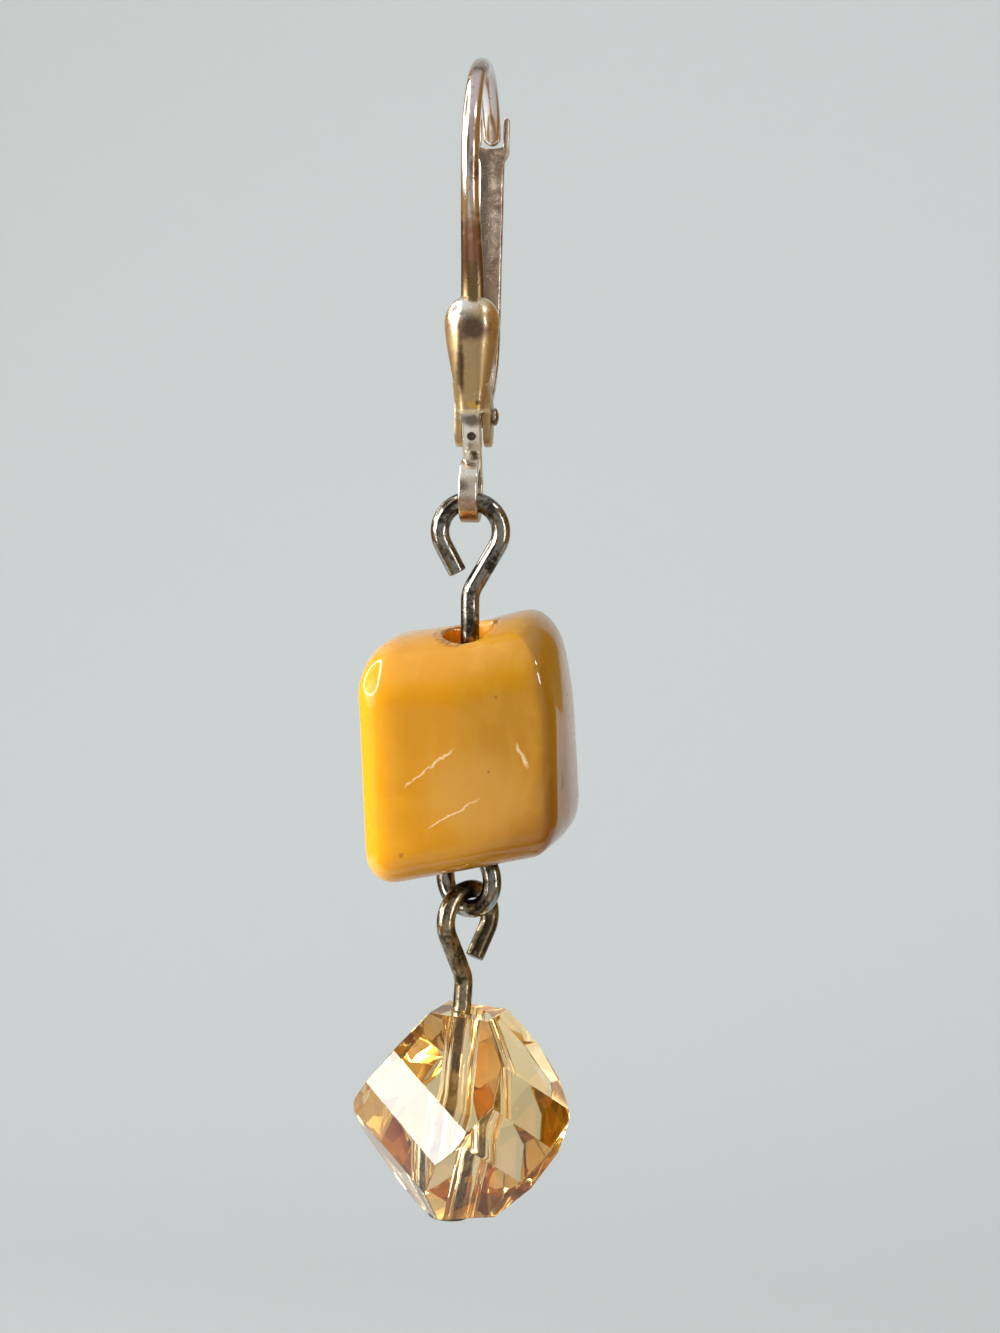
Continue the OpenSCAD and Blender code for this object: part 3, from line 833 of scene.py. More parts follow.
class RowTree(ShapeTree):
    """Sets equal plates in a row across the earring."""

    def __init__(self) -> None:
        """Builds the tree."""
        super().__init__("plates in a row", {"Count": "Int", "Spacing": "Float"})

    def shape(self, g: Graph, given: dict[str, Num]) -> Num:
        """Adds the nodes that repeat the plate.

        Args:
            g: the graph.
            given: the inputs.

        Returns:
            The row of plates.
        """
        first = (given["Count"] - 1.0) * given["Spacing"] * -0.5
        row = g.out("GeometryNodeMeshLine", 0, {
            "Count": given["Count"], "Start Location": g.combine(first),
            "Offset": g.combine(given["Spacing"])})
        return g.out("GeometryNodeInstanceOnPoints", 0, {"Points": row, "Instance": given["Shape"]})


def finished_mesh(bm: bmesh.types.BMesh, material: Material, smooth_angle: float) -> Mesh:
    """Writes a worked mesh and shades it.

    Args:
        bm: the worked mesh, which is used up.
        material: its finish.
        smooth_angle: edges sharper than this many degrees stay sharp.

    Returns:
        The mesh.
    """
    mesh = bpy.data.meshes.new("part")
    bm.to_mesh(mesh)
    bm.free()
    mesh.shade_smooth()
    if smooth_angle < 180.0:
        mesh.set_sharp_from_angle(angle=math.radians(smooth_angle))
    mesh.materials.append(material)
    return mesh


def rings_mesh(rings: list[list[Vector]], material: Material, closed: bool = False,
               smooth_angle: float = 180.0) -> Mesh:
    """Joins rings of points to a skin.

    Args:
        rings: rings in mm, all with the same number of points.
        material: its finish.
        closed: whether the last ring joins the first, instead of both ends being capped.
        smooth_angle: edges sharper than this many degrees stay sharp.

    Returns:
        The mesh, in metres, with its faces outwards.
    """
    bm = bmesh.new()
    rows = [[bm.verts.new(p * MM) for p in ring] for ring in rings]
    for low, high in zip(rows, rows[1:] + (rows[:1] if closed else [])):
        for a, b, c, d in zip(low, low[1:] + low[:1], high[1:] + high[:1], high):
            bm.faces.new((a, b, c, d))
    if not closed:
        bm.faces.new(rows[0][::-1])
        bm.faces.new(rows[-1])
    bmesh.ops.remove_doubles(bm, verts=bm.verts, dist=SAME_VERTEX_M)
    bmesh.ops.recalc_face_normals(bm, faces=bm.faces)
    return finished_mesh(bm, material, smooth_angle)


def turned(outline: list[Pair], place: Matrix, material: Material, sides: int = 48,
           closed: bool = False, smooth_angle: float = 50.0) -> Mesh:
    """Turns an outline about an axis.

    Args:
        outline: distance along the axis and radius, in mm.
        place: takes the Z axis at the origin to the real axis, in mm.
        material: its finish.
        sides: number of sides.
        closed: whether the outline closes on itself, as for a bored piece.
        smooth_angle: edges sharper than this many degrees stay sharp.

    Returns:
        The mesh, in metres.
    """
    rings = [[place @ Vector((radius * math.cos(a), radius * math.sin(a), along))
              for a in around(sides)] for along, radius in outline]
    return rings_mesh(rings, material, closed, smooth_angle)


def assemble(name: str, meshes: list[Mesh]) -> bpy.types.Object:
    """Makes one object of several meshes.

    Args:
        name: the object's name.
        meshes: its parts, in metres.

    Returns:
        The object, at the origin.
    """
    parts = [linked(name, mesh) for mesh in meshes]
    if len(parts) > 1:
        with bpy.context.temp_override(active_object=parts[0], object=parts[0],
                                       selected_objects=parts, selected_editable_objects=parts):
            bpy.ops.object.join()
    parts[0].name = parts[0].data.name = name
    return parts[0]


class Shop:
    """The trees and the finishes that the pieces are made with."""

    def __init__(self) -> None:
        """Builds the trees and mixes the finishes."""
        self.wires, self.strips = BarTree(Section.ROUND), BarTree(Section.STRIP)
        self.rows = RowTree()
        self.finish: dict[str, Material] = {finish.name: finish.material() for finish in FINISHES}


@dataclass
class Piece:
    """Piece of the earring that stands for one node. All its sizes are in mm."""

    shop: Shop

    node = body = slot = ""

    def build(self) -> bpy.types.Object:
        """Makes the piece, fits it into the frame and reports it.

        Returns:
            The object.
        """
        piece = assemble(f"{self.node}_dressed", self.meshes())
        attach(piece, self.body)
        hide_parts(self.node)
        faces = sum(len(p.vertices) - 2 for p in piece.data.polygons)
        LOG.info("%s rides on %s: %d triangles", piece.name, self.body, faces)
        return piece

    def meshes(self) -> list[Mesh]:
        """Makes the parts of the piece."""
        raise NotImplementedError


@dataclass
class EarHook(Piece):
    """Ear wire, domed shell, hinge ears, tongue and ring."""

    wire_d: float = 0.66
    arch_r: float = 3.75
    tip_angle: float = 74.0
    leg_h: float = 4.7
    leg_set_back: float = 1.1
    foot_w: float = 0.86
    foot_t: float = 0.6
    shell_w: float = 2.05
    shell_h: float = 4.25
    shell_back: float = 0.74
    shell_lean: float = 0.3
    front_flat: float = 0.93
    front_soft: float = 0.12
    back_soft: float = 0.06
    solder_w: float = 0.085
    solder_h: float = 0.16
    bore_r: float = 0.25
    ear_in: float = 0.40
    ear_t: float = 0.27
    ear_r: float = 0.68
    ear_drop: float = 1.13
    ear_bevel: float = 0.05
    ear_lip: float = 0.03
    ring_w: float = 0.7
    ring_t: float = 0.36
    ring_r: float = 1.0
    ring_z: float = -15.59
    ring_end: float = 82.0
    ring_cut_r: float = 0.06
    ring_corner: float = 0.07
    tongue_angle: float = 20.0
    dimple_at: float = 0.62
    shell_rows: tuple[Pair, ...] = (
        (0.0, 0.44), (0.03, 0.49), (0.10, 0.53), (0.20, 0.60), (0.32, 0.70), (0.45, 0.81),
        (0.58, 0.91), (0.68, 0.97), (0.76, 1.0), (0.82, 0.99), (0.88, 0.93), (0.93, 0.82),
        (0.97, 0.68), (1.0, 0.48))

    node, body, slot = "ear_hook", "hook", "tarnished_silver"

    @property
    def shell_top(self) -> Pair:
        """Side view place of the middle of the shell's top."""
        return (-self.arch_r + self.leg_set_back, -self.arch_r - self.leg_h)

    @property
    def shell_foot(self) -> Pair:
        """Side view place of the middle of the shell's foot."""
        return (self.shell_top[0] - self.shell_lean, self.shell_top[1] - self.shell_h)

    @property
    def tongue(self) -> tuple[Pair, Pair]:
        """Gives the side view places of the tongue's top and of its foot, where the ring starts.

        Returns:
            The two places.
        """
        foot = polar((self.shell_foot[0], self.ring_z), self.ring_r, self.tongue_angle)
        rise = self.shell_foot[1] + self.shell_h * 0.06 - foot[1]
        length = rise / math.cos(math.radians(self.tongue_angle))
        return polar(foot, length, self.tongue_angle + 90.0), foot

    def meshes(self) -> list[Mesh]:
        """Makes the parts of the hook."""
        return [self.wire(), self.shell(), self.solder(), self.ears(), self.ring(), self.dimple()]

    def wire(self) -> Mesh:
        """Makes the ear wire from inside the shell to its round tip.

        Returns:
            The mesh.
        """
        y0, z0 = self.shell_top
        d, foot = self.wire_d, (self.foot_w, self.foot_t)
        stations = []
        for t in (i / 48 for i in range(-2, 48)):
            s = soft_step(t)
            at = Vector((0.0, y0 - self.leg_set_back * s, z0 + self.leg_h * t))
            stations.append(Station(at, *((size + (d - size) * s) / d for size in foot)))
        over = arc((0.0, -self.arch_r), self.arch_r, 180.0, 90.0 - self.tip_angle, 2.5)
        over.append(polar(over[-1], d / 2, -self.tip_angle))
        stations += rounded_ends(side(over), d, d, 0.0, d / 2)
        return self.shop.wires.sweep(stations, d, d, self.shop.finish["bright silver wire"], 36)

    def shell(self) -> Mesh:
        """Makes the domed shell with its flat back.

        Returns:
            The mesh.
        """
        lean = math.atan2(self.shell_lean, self.shell_h)
        place = Matrix.Translation((0.0, *self.shell_foot)) @ Matrix.Rotation(-lean, 4, "X")
        rows = smooth_rows(list(self.shell_rows), 8)
        first, last = rows[0][1], rows[-1][1]
        foot = [(0.012 * (1 - math.cos(a)), first - 0.05 * (1 - math.sin(a)))
                for a in (0.0, 0.5, 1.0)]
        rows = [(0.0, share) for share in (0.02, 0.2, 0.33)] + foot + rows[5:]
        rows += [(1.0, last * share) for share in (0.93, 0.8, 0.5, 0.1)]
        rings = []
        for height, share in rows:
            r = share * self.shell_w / 2
            flat = self.front_flat - 0.10 * soft_step((0.55 - height) / 0.4)
            ring = []
            for a in around(96):
                y = soft_least(r * math.sin(a), self.shell_back, self.back_soft)
                y = -soft_least(-y, flat * r, self.front_soft * r)
                ring.append(place @ Vector((r * math.cos(a), y, height * self.shell_h)))
            rings.append(ring)
        return rings_mesh(rings, self.shop.finish["tarnished silver"], smooth_angle=55.0)

    def solder(self) -> Mesh:
        """Makes the thin rim of solder where the wire enters the shell.

        Returns:
            The mesh.
        """
        y0, z0 = self.shell_top
        rings = []
        for a in (math.radians(90.0 * k / 8) for k in range(9)):
            grow = self.solder_w * (1 - math.sin(a))
            rise = self.solder_h * (1 - math.cos(a)) - 0.02
            ring = []
            for b in around(48):
                uneven = 1.0 + 0.18 * math.sin(3 * b + 0.6) + 0.1 * math.sin(7 * b)
                x, y = (w / 2 - 0.01 + grow * uneven for w in (self.foot_w, self.foot_t))
                ring.append(Vector((x * math.cos(b), y0 + y * math.sin(b), z0 + rise * uneven)))
            rings.append(ring)
        return rings_mesh(rings, self.shop.finish["bright silver wire"])

    def ears(self) -> Mesh:
        """Makes the two bored hinge ears.

        Returns:
            The mesh of both.
        """
        foot = (RIVET[0] - 0.1, RIVET[1] - self.ear_drop + self.ear_r)
        y, z = self.shell_foot
        top = z + self.shell_h * 0.27
        corners = [(foot[0] - self.ear_r, z + self.shell_h * 0.09)]
        corners += arc(foot, self.ear_r, 180.0, 360.0, 6.0)
        corners += [(foot[0] + self.ear_r, RIVET[1] + 0.44), (y + 0.1, top), (y - 0.3, top)]
        edges = zip(corners, corners[1:] + corners[:1])
        outline = [Vector(p) for p in joined(*[line(a, b, 0.09) for a, b in edges])[:-1]]
        half, bevel, bore, lip = self.ear_t / 2, self.ear_bevel, self.bore_r, self.ear_lip
        rings = [self.drawn_in(outline, inset, x) for inset, x in (
            (0.0, -half + bevel), (0.0, half - bevel), (bevel * 0.3, half - bevel * 0.3),
            (bevel, half))]
        ways = [(p - Vector(RIVET)).normalized() for p in outline]
        for r, x in ((bore + lip, half), (bore, half - lip), (bore, lip - half),
                     (bore + lip, -half)):
            rings.append([Vector((x, RIVET[0] + way.x * r, RIVET[1] + way.y * r)) for way in ways])
        rings += [self.drawn_in(outline, inset, x) for inset, x in (
            (bevel, -half), (bevel * 0.3, -half + bevel * 0.3))]
        finish = self.shop.finish["tarnished silver"]
        plate = linked("ear plate", rings_mesh(rings, finish, closed=True, smooth_angle=40.0))
        spacing = (2 * self.ear_in + self.ear_t) * MM
        return self.shop.rows.run(plate, {"Count": 2, "Spacing": spacing, "Material": finish})

    def drawn_in(self, outline: list[Vector], inset: float, x: float) -> list[Vector]:
        """Draws an outline inwards.

        Args:
            outline: the outline in the side view, anticlockwise.
            inset: how far it is drawn in.
            x: its place across.

        Returns:
            Its points in space.
        """
        ring = []
        for before, p, after in zip(outline[-1:] + outline, outline, outline[1:] + outline[:1]):
            run = (after - before).normalized()
            ring.append(Vector((x, p.x - run.y * inset, p.y + run.x * inset)))
        return ring

    def ring(self) -> Mesh:
        """Makes the tongue and the open ring of one strip.

        Returns:
            The mesh.
        """
        top, foot = self.tongue
        centre = (self.shell_foot[0], self.ring_z)
        ring = arc(centre, self.ring_r, self.tongue_angle, self.ring_end - 360.0)
        path = side(joined(line(top, foot, 0.12), ring))
        w, t = self.ring_w, self.ring_t
        stations = rounded_ends(path, w, t, 0.0, self.ring_cut_r)
        finish = self.shop.finish["rubbed silver"]
        return self.shop.strips.sweep(stations, w, t, finish, 4, self.ring_corner, HAMMERED)

    def dimple(self) -> Mesh:
        """Makes the punched dimple in the tongue as a small cup with a raised rim.

        Returns:
            The mesh.
        """
        mid = (b + self.dimple_at * (a - b) for a, b in zip(*self.tongue))
        turn = math.radians(self.tongue_angle + 90.0)
        place = Matrix.Translation((0.0, *mid)) @ Matrix.Rotation(turn, 4, "X")
        cup = ((0.003, 0.01), (0.004, 0.06), (0.012, 0.12), (0.022, 0.15), (0.018, 0.17),
               (-0.03, 0.18), (-0.1, 0.17), (-0.1, 0.01))
        outline = [(self.ring_t / 2 + rise, r) for rise, r in cup]
        return turned(outline, place, self.shop.finish["blackened silver"], 32, True, 180.0)


@dataclass
class HingeRivet(Piece):
    """Rivet with a domed head on the right and a nearly flush tail."""

    d: float = 0.44
    head_d: float = 0.66
    head_h: float = 0.2
    seat: float = 0.71
    tail: float = 0.70

    node, body, slot = "hinge_rivet", "hook", "rivet_metal"

    def meshes(self) -> list[Mesh]:
        """Turns the rivet.

        Returns:
            Its mesh.
        """
        r, head, seat, tail = self.d / 2, self.head_d / 2, self.seat, self.tail
        rim = self.head_h * 0.35
        outline = [(-tail, 0.01), (-tail, r - 0.05), (-tail + 0.015, r - 0.015), (-tail + 0.04, r),
                   (seat, r), (seat, head - 0.03), (seat + 0.02, head)]
        for a in (math.radians(7.5 * k) for k in range(1, 13)):
            rise = rim + (self.head_h - rim) * math.sin(a)
            outline.append((seat + rise, max(head * math.cos(a), 0.012)))
        return [turned(outline, across(*RIVET), self.shop.finish["worn rivet"])]


@dataclass
class Lever(Piece):
    """Back lever: barrel, narrow arm, bend, upright and fork."""

    width: float = 0.95
    root_w: float = 0.72
    barrel_d: float = 0.86
    bore_d: float = 0.5
    thick: float = 0.4
    arm_l: float = 2.0
    arm_angle: float = 14.0
    bend_r: float = 3.2
    upright_angle: float = 80.0
    fork_w: float = 1.3
    slot_w: float = 0.84
    slot_r: float = 0.12
    slot_foot_z: float = -3.136
    top_z: float = -1.966
    root_l: float = 0.3
    neck_l: float = 0.75
    neck_blend: float = 0.35
    overlap: float = 0.45
    rim: float = 0.06
    corner: float = 0.1

    node, body, slot = "lever", "lever", "lever_silver"

    @property
    def bend(self) -> list[Pair]:
        """Lists the side view points of the bend between the arm and the upright.

        Returns:
            The points, from the arm up.
        """
        start = polar(RIVET, self.arm_l, self.arm_angle)
        centre = polar(start, self.bend_r, self.arm_angle + 90.0)
        return arc(centre, self.bend_r, self.arm_angle - 90.0, self.upright_angle - 90.0, 2.5)

    def meshes(self) -> list[Mesh]:
        """Makes the parts of the lever."""
        return [self.strip(), self.fork(), self.barrel()]

    def strip(self) -> Mesh:
        """Makes the strip from the barrel to the fork.

        Returns:
            The mesh.
        """
        bend = self.bend
        rise = self.slot_foot_z - self.overlap - bend[-1][1]
        end = (bend[-1][0] + rise / math.tan(math.radians(self.upright_angle)), bend[-1][1] + rise)
        root = polar(RIVET, self.root_l, self.arm_angle)
        path = side(joined(line(root, bend[0], 0.1), bend, line(bend[-1], end, 0.2)))
        stations, done = [], 0.0
        for before, p in zip(path[:1] + path, path):
            done += (p - before).length
            grown = soft_step((done - self.neck_l) / self.neck_blend)
            width = self.root_w + (self.width - self.root_w) * grown
            stations.append(Station(p, width / self.width))
        finish = self.shop.finish["tarnished strip"]
        return self.shop.strips.sweep(stations, self.width, self.thick, finish, 4, self.corner,
                                      HAMMERED)

    def fork(self) -> Mesh:
        """Makes the fork that takes the wire's tip.

        Returns:
            The mesh.
        """
        start, up, out = side([self.bend[-1], polar(ORIGIN, 1.0, self.upright_angle),
                               polar(ORIGIN, 1.0, self.upright_angle - 90.0)])
        low, top = ((z - start.z) / up.z for z in (self.slot_foot_z, self.top_z))
        half, slot, flank = self.fork_w / 2, self.slot_w / 2, self.width / 2
        tine_r = (half - slot) / 2
        right = [(flank, low - 0.75)]
        for k in range(9):
            right.append((flank + (half - flank) * soft_step(k / 8), low - 0.6 + 0.5 * k / 8))
        right += arc((half - tine_r, top - tine_r), tine_r, 0.0, 180.0, 15.0)
        slot_foot = arc(ORIGIN, 1.0, 0.0, -90.0, 15.0)
        right += [(slot * x, low + self.slot_r * (1 + s)) for x, s in slot_foot]
        outline = [(-flank, low - 0.75)] + right + [(-x, s) for x, s in right[-2:0:-1]]
        bm = bmesh.new()
        back = start - out * self.thick / 2
        verts = [bm.verts.new((back + up * s + Vector((x, 0.0, 0.0))) * MM) for x, s in outline]
        grown = bmesh.ops.extrude_face_region(bm, geom=[bm.faces.new(verts)])
        moved = [v for v in grown["geom"] if isinstance(v, bmesh.types.BMVert)]
        bmesh.ops.translate(bm, verts=moved, vec=out * self.thick * MM)
        bmesh.ops.recalc_face_normals(bm, faces=bm.faces)
        rims = [e for e in bm.edges
                if len(e.link_faces) == 2 and any(len(f.verts) > 8 for f in e.link_faces)]
        bmesh.ops.bevel(bm, geom=rims, offset=self.rim * MM, offset_type="OFFSET", segments=3,
                        profile=0.5, affect="EDGES", clamp_overlap=True)
        bmesh.ops.triangulate(bm, faces=[f for f in bm.faces if len(f.verts) > 4])
        return finished_mesh(bm, self.shop.finish["tarnished strip"], 40.0)

    def barrel(self) -> Mesh:
        """Makes the bored barrel round the rivet.

        Returns:
            The mesh.
        """
        half, outer, inner = self.root_w / 2, self.barrel_d / 2, self.bore_d / 2
        outline = [(-half, inner + 0.02), (-half, outer - 0.04), (-half + 0.04, outer),
                   (half - 0.04, outer), (half, outer - 0.04), (half, inner + 0.02),
                   (half - 0.02, inner), (-half + 0.02, inner)]
        finish = self.shop.finish["tarnished strip"]
        return turned(outline, across(*RIVET), finish, closed=True, smooth_angle=40.0)


@dataclass
class EyeBend:
    """One bent eye with its neck, in the front view about its own middle. Sizes in mm."""

    radius: float = 1.14
    opening: float = 30.0
    closing: float = 28.0
    tail: float = 1.15
    neck_r: float = 1.2
    neck_h: float = 2.6015

    def path(self) -> list[Pair]:
        """Lists the points from the free end to the top of the stem.

        Returns:
            The points.
        """
        eye = arc(ORIGIN, self.radius, 180.0 + self.closing, -self.opening)
        neck = arc((self.neck_r, -self.neck_h), self.neck_r, 180.0 - self.opening, 180.0)
        free = polar(eye[0], self.tail, self.closing - 90.0)
        return joined(line(free, eye[0], 0.15), eye, line(eye[-1], neck[0], 0.2), neck)


@dataclass
class EyePin(Piece):
    """Upper pin with an eye at each end."""

    eye: EyeBend
    d: float = 0.7
    cut_r: float = 0.07
    top_eye_z: float = -17.11
    low_eye_z: float = -30.26308
    low_turn: float = -33.0

    node, body, slot = "eye_pin", "upper_drop", "dark_wire"

    def meshes(self) -> list[Mesh]:
        """Bends the pin.

        Returns:
            Its mesh.
        """
        upper = [Vector((x, DROP_Y, z + self.top_eye_z)) for x, z in self.eye.path()]
        turn = Matrix.Rotation(math.radians(self.low_turn), 3, "Z")
        middle = Vector((0.0, DROP_Y, self.low_eye_z))
        lower = [turn @ Vector((x, 0.0, -z)) + middle for x, z in self.eye.path()]
        stem = [upper[-1].lerp(lower[-1], k / 24) for k in range(1, 24)]
        path = upper + stem + lower[::-1]
        stations = rounded_ends(path, self.d, self.d, self.cut_r, self.cut_r)
        finish = self.shop.finish["dark drawn wire"]
        return [self.shop.wires.sweep(stations, self.d, self.d, finish, 40)]


@dataclass
class HeadPin(Piece):
    """Lower pin with one eye and a flat head, in its own leaning frame."""

    eye: EyeBend
    place: Matrix
    d: float = 0.7
    cut_r: float = 0.07
    eye_z: float = -0.395
    eye_turn: float = 50.0
    head_top: float = -11.8065
    head_t: float = 0.22
    head_d: float = 1.56

    node, body, slot = "head_pin", "lower_drop", "bronze_wire"

    def meshes(self) -> list[Mesh]:
        """Bends the pin and adds its head.

        Returns:
            Both meshes.
        """
        turn = Matrix.Rotation(math.radians(self.eye_turn), 3, "Z")
        middle = Vector((0.0, 0.0, self.eye_z))
        bend = [turn @ Vector((-x, 0.0, z)) + middle for x, z in self.eye.path()]
        foot = Vector((0.0, 0.0, self.head_top - self.head_t / 2))
        stem = [bend[-1].lerp(foot, k / 20) for k in range(1, 21)]
        path = [self.place @ p for p in bend + stem]
        finish = self.shop.finish["brown drawn wire"]
        stations = rounded_ends(path, self.d, self.d, self.cut_r, 0.0)
        r, top, low = self.head_d / 2, self.head_top, self.head_top - self.head_t
        outline = [(top, 0.05), (top, r - 0.06), (top - 0.02, r - 0.02), (top - 0.07, r),
                   (low + 0.07, r), (low + 0.025, r - 0.025), (low, r - 0.09), (low, 0.3),
                   (low, 0.02)]
        return [self.shop.wires.sweep(stations, self.d, self.d, finish, 40),
                turned(outline, self.place, finish, smooth_angle=60.0)]


@dataclass
class AmberBead(Piece):
    """Rounded and slightly twisted amber block with a wide worn bore."""

    w: float = 7.5
    t: float = 5.45
    h: float = 8.85
    end_r: float = 1.3
    edges: tuple[float, ...] = (1.1, 1.2, 1.2, 0.6)
    bow: float = 0.12
    turn: float = -6.0
    twist: float = 4.0
    top_slope: float = 8.0
    foot_slope: float = 13.0
    lean: float = 3.0
    bore_r: float = 1.0
    mouth_r: float = 1.15
    mouth_h: float = 1.0
    top_lip: float = 0.16
    foot_lip: float = 0.08
    worn_r: float = 0.62
    worn_depth: float = 0.10
    front_drop: float = 0.46
    hump: float = 0.36
    hump_x: float = 2.2
    hump_w: float = 1.1
    taper: float = 0.32
    facet: float = 0.16
    soft_rounds: int = 30
    crisp_column: int = 96
    firm_column: int = 66

    node, body, slot = "amber_bead", "amber", "amber"

    def section(self, drawn: float) -> list[Vector]:
        """Lists points round the bead's section, a rounded block with bowed sides.

        Args:
            drawn: how far the flanks are drawn in, as a share of the end's rounding.

        Returns:
            The points, anticlockwise from the right.
        """
        inset = drawn * self.end_r
        a, b = self.w / 2 - inset, self.t / 2 - inset
        corners = []
        for k, (sx, sy) in enumerate(((1, 1), (-1, 1), (-1, -1), (1, -1))):
            r = max(self.edges[k] - inset, 0.03)
            corner = arc((sx * (a - r), sy * (b - r)), r, 90.0 * k, 90.0 * k + 90.0, 7.5)
            corners.append([Vector(p) for p in corner])
        found = []
        for k, corner in enumerate(corners):
            found += corner
            p, q = corner[-1], corners[(k + 1) % 4][0]
            out = Vector(polar(ORIGIN, 1.0, 90.0 * k + 90.0))
            for i in range(1, 18):
                rise = (1 - (i / 9 - 1) ** 2) ** 2 * self.bow * (1 - 0.5 * drawn)
                found.append(p.lerp(q, i / 18) + out * rise)
        return found

    def placed(self, x: float, y: float, level: float, skin: bool = True) -> Vector:
        """Shapes a point of the bead and takes it to its place.

        Args:
            x: place across in the section.
            y: place through in the section.
            level: height from the bead's middle.
            skin: whether the point belongs to the skin, and not to the straight bore.

        Returns:
            The point in the frame.
        """
        share = level / self.h + 0.5
        slope = math.radians(self.foot_slope + (self.top_slope - self.foot_slope) * share)
        drift = level * math.tan(math.radians(self.lean))
        if skin:
            off = (x - 0.49) * 0.736 + (level - 1.4) * 0.677
            y += self.facet * soft_step(-y / 1.5) * soft_step(off / 2.5)
            x -= self.taper * soft_step((level - 0.8) / 3.6) * soft_step(x / 3.8)
            turn = math.radians(self.turn + self.twist * level / self.h)
            c, s = math.cos(turn), math.sin(turn)
            x, y = x * c - y * s, x * s + y * c
        else:
            x += drift
        lift = self.hump * math.exp(-((x - self.hump_x) / self.hump_w) ** 2)
        lift -= self.front_drop * (max(0.8 - y, 0.0) / 2.15) ** 2
        z = AMBER_MID_Z + level + x * math.tan(slope) + lift * soft_step(2 * share - 1)
        return Vector((x - drift, DROP_Y + y, z))

    def meshes(self) -> list[Mesh]:
        """Makes the bead.

        Returns:
            Its mesh.
        """
        half, r = self.h / 2, self.end_r
        angles = [math.radians(90.0 * k / 14) for k in range(14)]
        foot = [(-half + r * (1 - math.cos(a)), 1 - math.sin(a)) for a in angles]
        levels = foot + [((half - r) * (k / 16 - 1), 0.0) for k in range(33)]
        levels += [(-level, drawn) for level, drawn in foot[::-1]]
        skin = [[self.placed(*p, level) for p in self.section(drawn)] for level, drawn in levels]
        ways = [math.atan2(p.y, p.x) for p in self.section(1.0)]
        low = self.end_rings(skin[0], ways, -half, self.mouth_r, self.foot_lip)
        high = self.end_rings(skin[-1], ways, half, self.bore_r, self.top_lip)
        rings = low[:6:-1] + self.softened(low[6::-1] + skin + high[:7]) + high[7:]
        top, mouth = half - 0.2, -half + self.mouth_h
        bore = [(top + (mouth - top) * k / 14, self.bore_r) for k in range(1, 14)]
        for share in (0.85 * k / 4 for k in range(4)):
            radius = self.bore_r + (self.mouth_r - self.bore_r) * share
            bore.append((mouth - self.mouth_h * share, radius))
        rings += [self.bore_ring(ways, level, radius) for level, radius in bore]
        return [rings_mesh(rings, self.shop.finish["butterscotch amber"], closed=True)]

    def softened(self, rings: list[list[Vector]]) -> list[list[Vector]]:
        """Softens the skin as years of handling do, least at the crisp and the firm edge.

        Args:
            rings: the rings of the skin, of which the first and the last stay as they are.

        Returns:
            The softened rings.
        """
        grid = np.array([[tuple(p) for p in ring] for ring in rings])
        column = np.arange(grid.shape[1])
        near = np.abs((column - self.crisp_column + 60) % 120 - 60)
        crisp = 0.06 + 0.44 * np.clip((near - 5) / 9.0, 0.0, 1.0)
        firm = 0.12 + 0.38 * np.clip((np.abs(column - self.firm_column) - 7) / 10.0, 0.0, 1.0)
        height = grid[:, :, 2].mean(axis=1) - AMBER_MID_Z
        free = np.clip((np.abs(height + 0.4) - 2.2) / 1.2, 0.0, 1.0)[:, None]
        weight = np.maximum(np.minimum(crisp, firm), firm * free)[:, :, None]
        for _ in range(self.soft_rounds):
            beside = (np.roll(grid, 1, axis=1) + np.roll(grid, -1, axis=1)) / 2
            along = (grid[:-2] + grid[2:]) / 2
            grid[1:-1] += weight[1:-1] * ((beside[1:-1] + along) / 2 - grid[1:-1])
        return [[Vector(p) for p in ring] for ring in grid.tolist()]

    def bore_ring(self, ways: list[float], level: float, radius: float) -> list[Vector]:
        """Lists the points of one ring of the bore, at a height of the bead."""
        return [self.placed(radius * math.cos(a), radius * math.sin(a), level, False) for a in ways]

    def end_rings(self, edge: list[Vector], ways: list[float], level: float, radius: float,
                  lip: float) -> list[list[Vector]]:
        """Makes the rings from the skin's edge over the end to the bore.

        Args:
            edge: the skin's last ring.
            ways: the angle of each of its points.
            level: the end's height.
            radius: radius of the bore there.
            lip: radius of the rounding at the bore.

        Returns:
            The rings, from the skin inwards.
        """
        rim = self.bore_ring(ways, level, radius + lip)
        rings = [[p.lerp(q, k / 7) for p, q in zip(edge, rim)] for k in range(1, 8)]
        uneven = [w + 0.05 * math.sin(9 * w) * math.cos(4 * w + 0.7) for w in ways]
        inward = -math.copysign(1.0, level)
        for a in (math.radians(degrees) for degrees in (30.0, 60.0, 90.0)):
            sunk = Vector((0.0, 0.0, inward * lip * (1 - math.cos(a))))
            ring = self.bore_ring(uneven, level, radius + lip * (1 - math.sin(a)))
            rings.append([p + sunk for p in ring])
        return [[self.worn(p) for p in ring] for ring in rings] if level > 0 else rings

    def worn(self, p: Vector) -> Vector:
        """Lowers a point of the top where the bore's front rim is worn."""
        far = math.hypot(p.x - 0.1, (p.y - DROP_Y + self.bore_r) * 1.2)
        return p - Vector((0.0, 0.0, self.worn_depth * math.exp(-(far / self.worn_r) ** 2)))


